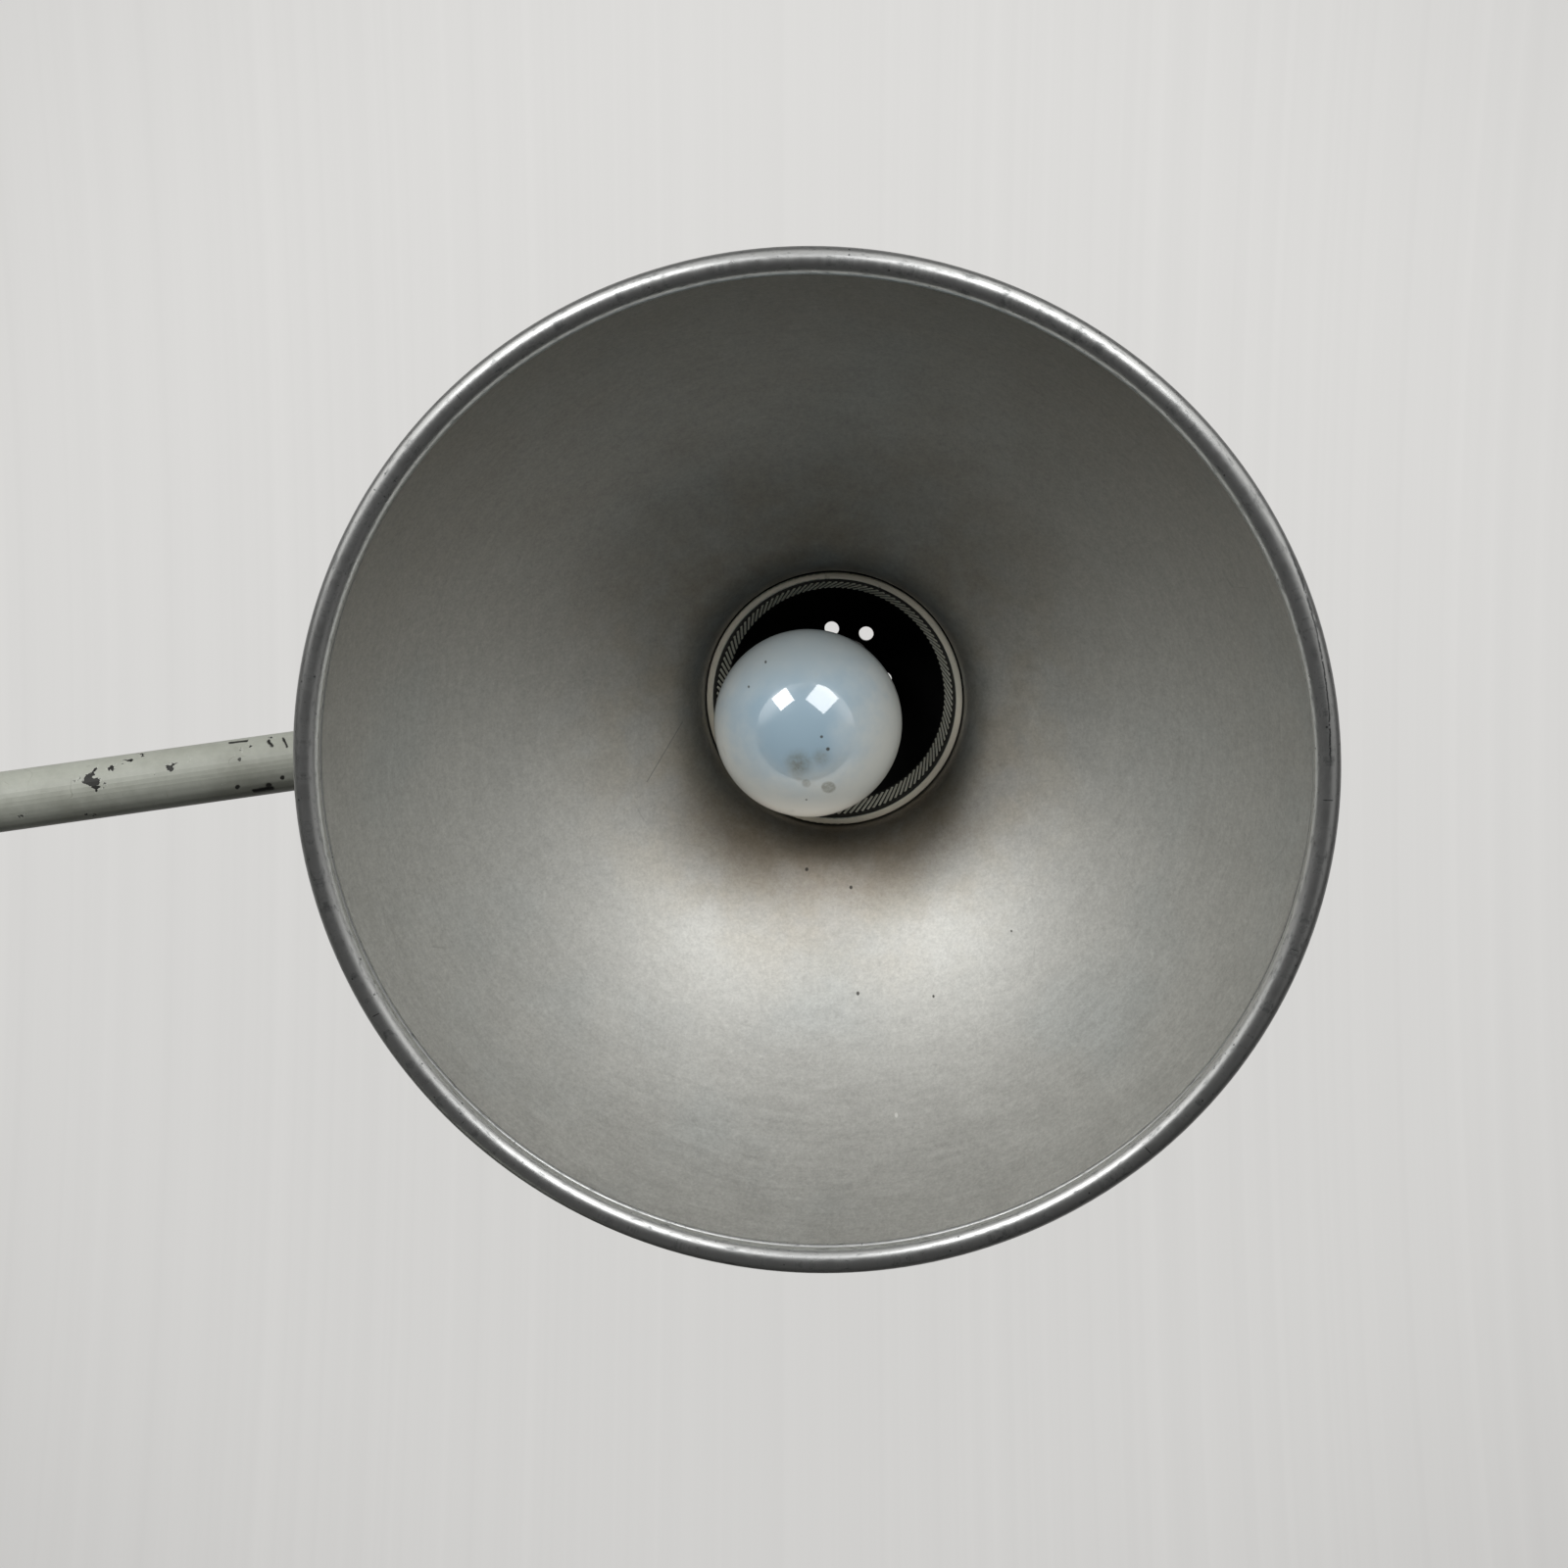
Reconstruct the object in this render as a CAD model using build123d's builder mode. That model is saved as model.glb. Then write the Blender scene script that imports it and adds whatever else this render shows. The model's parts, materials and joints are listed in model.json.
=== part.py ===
from build123d import *

# Desk lamp: a spun reflector on a jointed tube arm that stands on a heavy round base.
# Millimetres, +Z up. The origin is the centre of the base's underside. At rest the arm
# lies in the XZ plane with the head at +X, and the light points towards -Y.

import os
from math import cos, radians, sin

os.makedirs("parts", exist_ok=True)

# ---------------------------------------------------------------- driving dimensions

# Arm at rest
shoulder_height = 95.0
lower_arm_length = 400.0  # shoulder pivot to elbow pivot
upper_arm_length = 400.0  # elbow pivot to head pivot
lower_lean = 10.0  # degrees back from the vertical
upper_rise = 8.2  # degrees up from the horizontal
head_roll = 11.0  # degrees, the head's turn about the upper arm
head_angle = 77.3  # degrees between the arm and the light's direction
pivot_offset = 75.0  # head pivot to the head's axis
pivot_depth = 143.2  # head pivot behind the plane of the rim

# Fits and fasteners
running_gap = 0.05  # radial clearance of a shaft in its hole
seat_gap = 0.02  # radial clearance of a piece that stays put
loose_gap = 0.2  # radial clearance of a washer, and the play at a tube's ends
cut_over = 1.0  # how far a cut or a joined form runs past the face it meets
m3_r, m3_head_r, m3_head_h = 1.5, 2.5, 1.6
m4_r, m4_head_r, m4_head_h = 2.0, 3.5, 2.4
slot_depth, slot_width = 0.8, 0.6  # set screws
head_slot_depth, head_slot_width = 1.0, 0.9  # cheese-head screws

# Tubes
tube_r = 10.0
tube_wall = 1.5

# Knuckles, the same at the shoulder, the elbow and the head
knuckle_r = 17.0
tongue_thick = 12.0
friction_thick = 1.0  # friction washer on each side of the tongue
friction_r = 16.0
ear_thick = 6.0
web_start = 20.0  # where the metal between the ears begins
web_nose = 6.0  # half width of the web's nose
collar_start = 28.0
collar_r = 12.5
collar_length = 22.0
socket_depth = 16.0
fork_half = 12.0  # half width of the ears behind the disc
tongue_half = 8.0  # half width of the tongue behind the disc
wire_r = 4.5
cast_round = 1.2
bolt_r = 4.0
bolt_head_r, bolt_head_h, bolt_head_bevel = 7.5, 5.0, 0.8
bolt_reach = 12.0  # thread inside the knob
spring_washer_r, spring_washer_h = 9.0, 1.6
knob_hub_r, knob_hub_h = 9.0, 4.0
knob_r, knob_h = 17.0, 13.0
knob_lobes = 6
knob_scallop_r, knob_scallop_centre = 4.5, 18.5
knob_crown_round, knob_foot_round = 2.5, 1.0
insert_r, insert_length = 6.5, 12.5

# Head swivel, measured from the head pivot towards the elbow
head_neck_end = 40.0
swivel_washer_thick, swivel_washer_r = 1.0, 12.0
swivel_collar_end = 60.0
swivel_plug_end = 80.0
spigot_r = 6.0
spigot_bore_r = 3.5
spigot_end = 84.0
circlip_thick, circlip_r, circlip_groove_r = 1.2, 8.1, 5.2

# Reflector
rim_outer_r = 147.5
bead_r = 3.8
bead_wall = 1.1
bead_seam = 0.6  # gap where the rolled edge ends, behind the bead
bead_seam_angle = 62.0
sheet = 1.2
neck_r = 43.3  # inside of the neck
neck_sleeve_end = 139.8
neck_screw_angles = (90, 210, 330)  # clockwise from the hinge pin seen from the front
neck_screw_depth = 136.8
flare_r = 23.2  # bend between the neck and the bowl
bowl_slope = 28.3  # degrees, the bowl at the bend
flare_start = 133.4
bowl_join_inset = 2.1  # where the bowl meets the bead, from the bead's centre
bowl_join_depth = 0.6

# Cap, depths from the plane of the rim
cap_mouth = 130.0
cap_spigot_r = 43.0
cap_bore_r = 40.7
cap_step = 140.0
cap_r = 46.5
cap_wall = 2.5
cap_back = 194.5
cap_corner_r = 22.0
cap_mouth_round = 0.7
vent_hole_r = 2.65
vent_ring_r = 15.2
vent_pair_half = 24.3  # degrees
vent_first = 14.5  # degrees, clockwise from the hinge pin seen from the front
vent_pairs = 3
ribbed_start, ribbed_end = 131.3, 139.6
ribbed_throat_r, ribbed_outer_r = 36.7, 40.6
ribbed_lip, ribbed_wall = 0.4, 0.8
grommet_angle, grommet_depth = -40.0, 158.0
grommet_hole_r, grommet_bore_r, grommet_lip = 5.0, 3.4, 2.0
grommet_inside, grommet_lip_start, grommet_round = 1.0, 0.3, 0.9

# Head bracket
pad_near, pad_far = 22.5, 34.0  # from the pivot towards the cap
pad_low, pad_high = -1.5, 26.5  # along the head's axis
pad_half, pad_round = 16.0, 2.0
tongue_low, tongue_high, tongue_inset, tongue_run = -12.0, 15.5, 1.0, 3.0
pad_screw_inset, pad_screw_side = 4.5, 11.3

# Lampholder and bulb, measured from the cap's back towards the bulb
bulb_aside, bulb_up = 6.1, 0.4  # the bulb's centre off the head's axis
bulb_depth = 90.4
bulb_r = 30.0
bulb_glass_wall = 0.8
bulb_neck_r = 13.5
bulb_neck_bend_r = 40.6
bulb_leave_angle = 130.0  # degrees round the globe from its tip
bulb_cap_r, bulb_cap_wall = 13.1, 0.5
bulb_cap_low, bulb_cap_high = 28.0, 50.0
bulb_cap_floor_r, bulb_cap_floor = 9.0, 1.4
bulb_cap_cone, bulb_cap_cone_start = 5.0, 0.6
bulb_tip_r, bulb_tip_foot_r, bulb_tip = 2.5, 3.5, 1.4
bulb_stub, bulb_stub_start, bulb_taper = 5.0, 0.5, 2.0
holder_r = 16.5
holder_bore_r = 14.8
holder_back, holder_shoulder, holder_mouth = 9.0, 32.0, 52.0
holder_floor = 13.0
holder_back_r, holder_cheek_r, holder_cheek = 8.0, 14.0, 18.0
holder_seat_r, holder_seat_top, holder_step = 10.6, 18.0, 23.5
holder_relief = 0.6
holder_ring_first, holder_ring_pitch, holder_rings = 36.0, 3.0, 5
holder_ring_wide, holder_ring_deep = 1.2, 0.4
insulator_low, insulator_h, insulator_r = 14.5, 9.5, 10.2
insulator_hole_r, insulator_hole_ring = 1.6, 6.5
shell_low, shell_high, shell_r, shell_floor_r, shell_wall = 24.0, 51.0, 13.9, 8.0, 0.5
contact_r, contact_h, contact_long, contact_wide, contact_thick = 2.2, 1.8, 10.0, 4.0, 0.5
nipple_r, nipple_bore_r, nipple_low, nipple_length = 5.0, 3.2, 3.0, 11.0
nipple_nut_r, nipple_nut_h = 7.8, 3.2
bracket_low, bracket_thick = 7.2, 1.5
bracket_foot_near, bracket_foot_far = 6.0, 22.5
bracket_half, bracket_top_half, bracket_top_near = 6.0, 8.0, -9.0
bracket_screw_radii = (10.5, 17.5)
bracket_lift = 0.05
bracket_angle = 195.0  # degrees, clockwise as vent_first

# Base
base_r = 120.0
pad_r = 118.0
pad_thick = 1.5
plate_r, plate_gap = 106.0, 0.3
plate_thick = 1.5
plate_screws, plate_screw_ring, plate_screw_length = 4, 103.0, 8.5
plate_screw_hole = 8.0
countersink = 1.0
base_foot_bevel = 1.0
cavity_r = 100.0
cavity_top = 14.0
base_side_top = 16.0
dome_foot_r = 112.0
dome_foot_z = 22.5
dome_top_r = 34.0
dome_top_z = 31.0
hub_r = 24.0
hub_top = 40.0
hub_foot_rise, hub_bevel = 4.0, 1.5
dome_way = (-1, 0.2)  # the dome's slope where it leaves the rounded edge
bush_r = 10.0
journal_r = 8.0
stem_bore_r = 5.0
stem_flange_r = 20.0
stem_foot, stem_bevel = 5.0, 1.0
thrust_thick = 1.5
nut_h = 6.0
nut_r = 13.8
nut_washer_thick = 1.0
gland_z = 9.0
gland_r = 4.6
gland_bore_r = 3.4
gland_flange_r = 6.8
gland_flange, gland_sunk, gland_round = 2.5, 1.0, 1.2
gland_seat_gap = 0.4
grip_x, grip_long, grip_wide, grip_corner = -80.0, 10.0, 28.0, 1.5
grip_clear, grip_screw_side = 0.5, 9.0
terminal_x, terminal_y, terminal_long, terminal_wide, terminal_h = -38.0, 26.0, 26.0, 14.0, 8.0
terminal_hole_r, terminal_hole_side = 1.6, 4.0

# Switch
switch_x = 56.0
switch_seat_z = 27.4
switch_barrel_r, switch_barrel_gap, switch_barrel_proud = 6.0, 0.1, 3.0
switch_box_long, switch_box_wide, switch_box_low = 18.0, 16.0, 4.0
switch_spot_r = 12.0  # the flat that the ring nut sits on
ring_nut_r, ring_nut_h, ring_nut_bevel = 9.5, 2.6, 0.8
button_r = 4.4
button_top = 34.5
button_length = 11.0
button_bore_floor = 14.5
button_round = 1.2
spring_wire_r, spring_r, spring_turns = 0.4, 3.2, 4


# ---------------------------------------------------------------- directions and planes

lean, rise = radians(lower_lean), radians(upper_rise)
shoulder = Vector(0, 0, shoulder_height)
lower_way = Vector(-sin(lean), 0, cos(lean))
elbow = shoulder + lower_way * lower_arm_length
upper_way = Vector(cos(rise), 0, sin(rise))
head_pivot = elbow + upper_way * upper_arm_length

# The head's hinge pin stands square to the upper arm, rolled about it.
to_elbow = upper_way * -1
upright = Vector(-sin(rise), 0, cos(rise))
hinge_way = upright * cos(radians(head_roll)) + Vector(0, -1, 0) * sin(radians(head_roll))
across = hinge_way.cross(to_elbow)
light_way = to_elbow * cos(radians(head_angle)) + across * sin(radians(head_angle))
to_pivot = to_elbow * sin(radians(head_angle)) - across * cos(radians(head_angle))
depth_way = light_way * -1
rim_centre = head_pivot + light_way * pivot_depth - to_pivot * pivot_offset

# Knuckle planes: X runs from the pivot along the tube, Z along the hinge pin.
front = Vector(0, -1, 0)
shoulder_fork_plane = Plane(origin=shoulder, x_dir=(0, 0, -1), z_dir=front)
shoulder_tongue_plane = Plane(origin=shoulder, x_dir=lower_way, z_dir=front)
elbow_fork_plane = Plane(origin=elbow, x_dir=lower_way * -1, z_dir=front)
elbow_tongue_plane = Plane(origin=elbow, x_dir=upper_way, z_dir=front)
head_fork_plane = Plane(origin=head_pivot, x_dir=to_elbow, z_dir=hinge_way)
head_bracket_plane = Plane(origin=head_pivot, x_dir=to_pivot * -1, z_dir=hinge_way)

# The head's own plane: Z is the depth behind the rim, X points towards the arm.
head_plane = Plane(origin=rim_centre, x_dir=to_pivot, z_dir=depth_way)


def section_of(plane):
    """The plane through another plane's axis whose Y runs along that axis."""
    return Plane(origin=plane.origin, x_dir=plane.x_dir, z_dir=plane.y_dir * -1)


def axis_of(plane):
    """The line through a plane's origin along its Z."""
    return Axis(plane.origin, plane.z_dir)


def along_x(plane, distance):
    """The plane that crosses a knuckle plane's X at a distance from its origin."""
    return Plane(origin=plane.from_local_coords((distance, 0, 0)), z_dir=plane.x_dir)


def turned(plane, angle, radius, depth):
    """A plane on a plane's rim: Z points outwards at an angle clockwise from its Y."""
    out_x, out_y = -sin(radians(angle)), cos(radians(angle))
    start = plane.from_local_coords((out_x * radius, out_y * radius, depth))
    outwards = plane.x_dir * out_x + plane.y_dir * out_y
    return Plane(origin=start, x_dir=plane.z_dir, z_dir=outwards)


# ---------------------------------------------------------------- knuckle pieces

gap_half = tongue_thick / 2 + friction_thick
knuckle_half = gap_half + ear_thick
collar_end = collar_start + collar_length
socket_floor = collar_end - socket_depth
knob_foot = knuckle_half + spring_washer_h


def fork_casting(plane):
    """Two ears round the gap for a tongue, joined by a web."""
    with BuildPart() as casting:
        for side in (1, -1):
            with BuildSketch(plane.offset(side * gap_half)):
                Circle(knuckle_r)
                with Locations((collar_start / 2, 0)):
                    Rectangle(collar_start, 2 * fork_half)
            extrude(amount=side * ear_thick)
        outer_faces = casting.faces().sort_by(axis_of(plane))
        chamfer(outer_faces[0].edges() + outer_faces[-1].edges(), length=cast_round)
        with BuildSketch(plane.offset(-gap_half)):
            with BuildLine():
                Polyline(
                    (web_start, -web_nose),
                    (web_start + fork_half - web_nose, -fork_half),
                    (collar_start, -fork_half),
                    (collar_start, fork_half),
                    (web_start + fork_half - web_nose, fork_half),
                    (web_start, web_nose),
                    close=True,
                )
            make_face()
        extrude(amount=2 * gap_half)
        with BuildSketch(plane.offset(-knuckle_half)):
            Circle(bolt_r + running_gap)
        extrude(amount=2 * knuckle_half, mode=Mode.SUBTRACT)
    return casting.part


def tongue_casting(plane):
    """The flat disc that turns between the ears, with the neck behind it."""
    with BuildPart() as casting:
        with BuildSketch(plane.offset(-tongue_thick / 2)):
            Circle(knuckle_r)
            with Locations((collar_start / 2, 0)):
                Rectangle(collar_start, 2 * tongue_half)
            Circle(bolt_r + running_gap, mode=Mode.SUBTRACT)
        extrude(amount=tongue_thick)
    return casting.part


def add_collar(casting, plane, label):
    """A knuckle casting with the round collar that a tube fits into."""
    with BuildPart() as piece:
        add(casting)
        with BuildSketch(along_x(plane, collar_start)):
            Circle(collar_r)
        extrude(amount=collar_length)
        rims = piece.faces().filter_by(GeomType.PLANE).sort_by(Axis(plane.origin, plane.x_dir))
        chamfer(rims[-1].edges(), length=cast_round)
        with BuildSketch(along_x(plane, socket_floor)):
            Circle(tube_r + seat_gap)
        extrude(amount=socket_depth, mode=Mode.SUBTRACT)
        with BuildSketch(along_x(plane, web_start - cut_over)):
            Circle(wire_r)
        extrude(amount=socket_floor - web_start + cut_over, mode=Mode.SUBTRACT)
        with BuildSketch(screw_plane(plane)):
            Circle(m4_r + seat_gap)
        extrude(amount=collar_r, mode=Mode.SUBTRACT)
    piece.part.label = label
    export_step(piece.part, f"parts/{label}.step")


def screw_plane(plane):
    """Where a collar's set screw stands, pointing out of the knuckle's back."""
    middle = collar_end - socket_depth / 2
    start = plane.from_local_coords((middle, 0, 0))
    return Plane(origin=start, x_dir=plane.x_dir, z_dir=plane.z_dir * -1)


def make_set_screws(planes, label, near, far):
    """Headless screws with a slot, one on each plane, between two radii."""
    with BuildPart() as screws:
        for plane in planes:
            with BuildSketch(plane.offset(near)):
                Circle(m4_r)
            extrude(amount=far - near)
            with BuildSketch(plane.offset(far - slot_depth)):
                Rectangle(slot_width, 2 * m4_r)
            extrude(amount=slot_depth, mode=Mode.SUBTRACT)
    screws.part.label = label
    export_step(screws.part, f"parts/{label}.step")


def make_tube(plane, start, end, label):
    """A straight tube along a knuckle plane's X, between two distances."""
    with BuildPart() as tube:
        with BuildSketch(along_x(plane, start)):
            Circle(tube_r)
            Circle(tube_r - tube_wall, mode=Mode.SUBTRACT)
        extrude(amount=end - start)
    tube.part.label = label
    export_step(tube.part, f"parts/{label}.step")


def make_clamp(plane, joint):
    """Bolt, friction washers, spring washer, knob and its insert for one knuckle."""
    with BuildPart() as bolt:
        with BuildSketch(plane.offset(-knuckle_half - bolt_head_h)):
            RegularPolygon(bolt_head_r, 6)
        extrude(amount=bolt_head_h)
        head_end = bolt.faces().sort_by(axis_of(plane))[0]
        chamfer(head_end.edges(), length=bolt_head_bevel)
        with BuildSketch(plane.offset(-knuckle_half)):
            Circle(bolt_r)
        extrude(amount=knuckle_half + knob_foot + bolt_reach)
    bolt.part.label = f"{joint}_bolt"
    export_step(bolt.part, f"parts/{joint}_bolt.step")

    with BuildPart() as washers:
        for low in (-gap_half, tongue_thick / 2):
            with BuildSketch(plane.offset(low)):
                Circle(friction_r)
                Circle(bolt_r + loose_gap, mode=Mode.SUBTRACT)
            extrude(amount=friction_thick)
    washers.part.label = f"{joint}_friction_washers"
    export_step(washers.part, f"parts/{joint}_friction_washers.step")

    with BuildPart() as spring_washer:
        with BuildSketch(section_of(plane.offset(knuckle_half))):
            with BuildLine():
                Polyline(
                    (bolt_r + loose_gap, spring_washer_h / 2),
                    (spring_washer_r, 0),
                    (spring_washer_r, spring_washer_h / 2),
                    (bolt_r + loose_gap, spring_washer_h),
                    close=True,
                )
            make_face()
        revolve(axis=axis_of(plane))
    spring_washer.part.label = f"{joint}_spring_washer"
    export_step(spring_washer.part, f"parts/{joint}_spring_washer.step")

    with BuildPart() as insert:
        with BuildSketch(plane.offset(knob_foot)):
            Circle(insert_r)
            Circle(bolt_r + running_gap, mode=Mode.SUBTRACT)
        extrude(amount=insert_length)
    insert.part.label = f"{joint}_knob_insert"
    export_step(insert.part, f"parts/{joint}_knob_insert.step")

    with BuildPart() as knob:
        with BuildSketch(plane.offset(knob_foot + knob_hub_h)):
            Circle(knob_r)
            with PolarLocations(knob_scallop_centre, knob_lobes):
                Circle(knob_scallop_r, mode=Mode.SUBTRACT)
        extrude(amount=knob_h)
        crown = knob.faces().sort_by(axis_of(plane))
        fillet(crown[-1].edges(), radius=knob_crown_round)
        fillet(crown[0].edges(), radius=knob_foot_round)
        with BuildSketch(plane.offset(knob_foot)):
            Circle(knob_hub_r)
        extrude(amount=knob_hub_h + cut_over)
        with BuildSketch(plane.offset(knob_foot)):
            Circle(insert_r + seat_gap)
        extrude(amount=insert_length + seat_gap, mode=Mode.SUBTRACT)
    knob.part.label = f"{joint}_knob"
    export_step(knob.part, f"parts/{joint}_knob.step")


# ---------------------------------------------------------------- arm

add_collar(fork_casting(shoulder_fork_plane), shoulder_fork_plane, "shoulder_fork")
add_collar(tongue_casting(shoulder_tongue_plane), shoulder_tongue_plane, "shoulder_tongue")
add_collar(fork_casting(elbow_fork_plane), elbow_fork_plane, "elbow_fork")
add_collar(tongue_casting(elbow_tongue_plane), elbow_tongue_plane, "elbow_tongue")
make_clamp(shoulder_fork_plane, "shoulder")
make_clamp(elbow_fork_plane, "elbow")
make_clamp(head_fork_plane, "head")

tube_start = socket_floor + loose_gap
make_tube(shoulder_tongue_plane, tube_start, lower_arm_length - tube_start, "lower_tube")
make_tube(elbow_tongue_plane, tube_start, upper_arm_length - swivel_collar_end, "upper_tube")
make_set_screws(
    [screw_plane(shoulder_tongue_plane), screw_plane(elbow_fork_plane)],
    "lower_tube_screws",
    tube_r + seat_gap,
    collar_r - loose_gap,
)
make_set_screws(
    [screw_plane(elbow_tongue_plane)],
    "upper_tube_screw",
    tube_r + seat_gap,
    collar_r - loose_gap,
)

# Head swivel: a collar plugged into the upper tube, in which the head's spigot turns.
with BuildPart() as head_swivel_collar:
    with BuildSketch(along_x(head_fork_plane, head_neck_end + swivel_washer_thick)):
        Circle(collar_r)
    extrude(amount=swivel_collar_end - head_neck_end - swivel_washer_thick)
    chamfer(head_swivel_collar.edges().filter_by(GeomType.CIRCLE), length=cast_round)
    with BuildSketch(along_x(head_fork_plane, swivel_collar_end)):
        Circle(tube_r - tube_wall - running_gap)
    extrude(amount=swivel_plug_end - swivel_collar_end)
    with BuildSketch(along_x(head_fork_plane, head_neck_end)):
        Circle(spigot_r + running_gap)
    extrude(amount=swivel_plug_end - head_neck_end, mode=Mode.SUBTRACT)
head_swivel_collar.part.label = "head_swivel_collar"
export_step(head_swivel_collar.part, "parts/head_swivel_collar.step")

with BuildPart() as head_swivel_washer:
    with BuildSketch(along_x(head_fork_plane, head_neck_end)):
        Circle(swivel_washer_r)
        Circle(spigot_r + 2 * running_gap, mode=Mode.SUBTRACT)
    extrude(amount=swivel_washer_thick)
head_swivel_washer.part.label = "head_swivel_washer"
export_step(head_swivel_washer.part, "parts/head_swivel_washer.step")

with BuildPart() as head_swivel_circlip:
    with BuildSketch(along_x(head_fork_plane, swivel_plug_end)):
        Circle(circlip_r)
        Circle(circlip_groove_r + seat_gap, mode=Mode.SUBTRACT)
    extrude(amount=circlip_thick)
head_swivel_circlip.part.label = "head_swivel_circlip"
export_step(head_swivel_circlip.part, "parts/head_swivel_circlip.step")

with BuildPart() as head_fork:
    add(fork_casting(head_fork_plane))
    with BuildSketch(along_x(head_fork_plane, collar_start)):
        Circle(collar_r)
    extrude(amount=head_neck_end - collar_start)
    with BuildSketch(along_x(head_fork_plane, head_neck_end)):
        Circle(spigot_r)
    extrude(amount=spigot_end - head_neck_end)
    with BuildSketch(along_x(head_fork_plane, swivel_plug_end)):
        Circle(spigot_r)
        Circle(circlip_groove_r, mode=Mode.SUBTRACT)
    extrude(amount=circlip_thick, mode=Mode.SUBTRACT)
    with BuildSketch(along_x(head_fork_plane, web_start - cut_over)):
        Circle(spigot_bore_r)
    extrude(amount=spigot_end - web_start + cut_over, mode=Mode.SUBTRACT)
head_fork.part.label = "head_fork"
export_step(head_fork.part, "parts/head_fork.step")


# ---------------------------------------------------------------- head

head_axis = axis_of(head_plane)
head_section = section_of(head_plane)
bead_centre_r = rim_outer_r - bead_r

with BuildPart() as reflector:
    with BuildSketch(head_section):
        with BuildLine():
            sleeve = Line((neck_r, neck_sleeve_end), (neck_r, flare_start))
            flare = JernArc(sleeve @ 1, sleeve % 1, flare_r, 90 - bowl_slope)
            bowl_end = (bead_centre_r - bowl_join_inset, bowl_join_depth)
            bowl = TangentArc(flare @ 1, bowl_end, tangent=flare % 1)
            offset(amount=sheet, side=Side.LEFT)
        make_face()
        with Locations((bead_centre_r, 0)):
            Circle(bead_r)
            Circle(bead_r - bead_wall, mode=Mode.SUBTRACT)
        with Locations(Location((bead_centre_r, 0), bead_seam_angle)):
            with Locations((bead_r, 0)):
                Rectangle(3 * bead_wall, bead_seam, mode=Mode.SUBTRACT)
    revolve(axis=head_axis)
    for angle in neck_screw_angles:
        with BuildSketch(turned(head_plane, angle, neck_r - cut_over, neck_screw_depth)):
            Circle(m3_r + seat_gap)
        extrude(amount=sheet + 2 * cut_over, mode=Mode.SUBTRACT)
reflector.part.label = "reflector"
export_step(reflector.part, "parts/reflector.step")

with BuildPart() as rim_wire:
    with BuildSketch(head_section):
        with Locations((bead_centre_r, 0)):
            Circle(bead_r - bead_wall - seat_gap)
    revolve(axis=head_axis)
rim_wire.part.label = "rim_wire"
export_step(rim_wire.part, "parts/rim_wire.step")


def bracket_screw_planes():
    """The two screws through the cap's back that hold the lampholder bracket."""
    out_x, out_y = -sin(radians(bracket_angle)), cos(radians(bracket_angle))
    places = []
    for radius in bracket_screw_radii:
        start = head_plane.from_local_coords((out_x * radius, out_y * radius, cap_back))
        places.append(Plane(origin=start, z_dir=depth_way))
    return places


with BuildPart() as cap:
    inner_r = cap_r - cap_wall
    inner_back = cap_back - cap_wall
    corner_start = cap_back - cap_corner_r
    inner_corner_r = cap_corner_r - cap_wall
    with BuildSketch(head_section):
        with BuildLine():
            Line((cap_bore_r, cap_mouth), (cap_spigot_r, cap_mouth))
            Line((cap_spigot_r, cap_mouth), (cap_spigot_r, cap_step))
            Line((cap_spigot_r, cap_step), (cap_r, cap_step))
            Line((cap_r, cap_step), (cap_r, corner_start))
            RadiusArc((cap_r, corner_start), (cap_r - cap_corner_r, cap_back), -cap_corner_r)
            Line((cap_r - cap_corner_r, cap_back), (0, cap_back))
            Line((0, cap_back), (0, inner_back))
            Line((0, inner_back), (inner_r - inner_corner_r, inner_back))
            RadiusArc(
                (inner_r - inner_corner_r, inner_back), (inner_r, corner_start), inner_corner_r
            )
            Line((inner_r, corner_start), (inner_r, cap_step + cap_wall))
            Line((inner_r, cap_step + cap_wall), (cap_bore_r, cap_step + cap_wall))
            Line((cap_bore_r, cap_step + cap_wall), (cap_bore_r, cap_mouth))
        make_face()
    revolve(axis=head_axis)
    mouth_face = cap.faces().filter_by(GeomType.PLANE).sort_by(head_axis)[0]
    fillet(mouth_face.edges(), radius=cap_mouth_round)
    for pair in range(vent_pairs):
        for side in (-1, 1):
            angle = radians(vent_first + pair * 360 / vent_pairs + side * vent_pair_half)
            with BuildSketch(head_plane.offset(inner_back - cut_over)):
                with Locations((-sin(angle) * vent_ring_r, cos(angle) * vent_ring_r)):
                    Circle(vent_hole_r)
            extrude(amount=cap_wall + 2 * cut_over, mode=Mode.SUBTRACT)
    for angle in neck_screw_angles:
        with BuildSketch(turned(head_plane, angle, cap_bore_r - cut_over, neck_screw_depth)):
            Circle(m3_r + seat_gap)
        extrude(amount=cap_spigot_r - cap_bore_r + 2 * cut_over, mode=Mode.SUBTRACT)
    for place in bracket_screw_planes():
        with BuildSketch(place.offset(-cap_wall - cut_over)):
            Circle(m3_r + seat_gap)
        extrude(amount=cap_wall + 2 * cut_over, mode=Mode.SUBTRACT)
    with BuildSketch(turned(head_plane, grommet_angle, inner_r - 2 * cut_over, grommet_depth)):
        Circle(grommet_hole_r)
    extrude(amount=cap_wall + 4 * cut_over, mode=Mode.SUBTRACT)
cap.part.label = "cap"
export_step(cap.part, "parts/cap.step")

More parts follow.
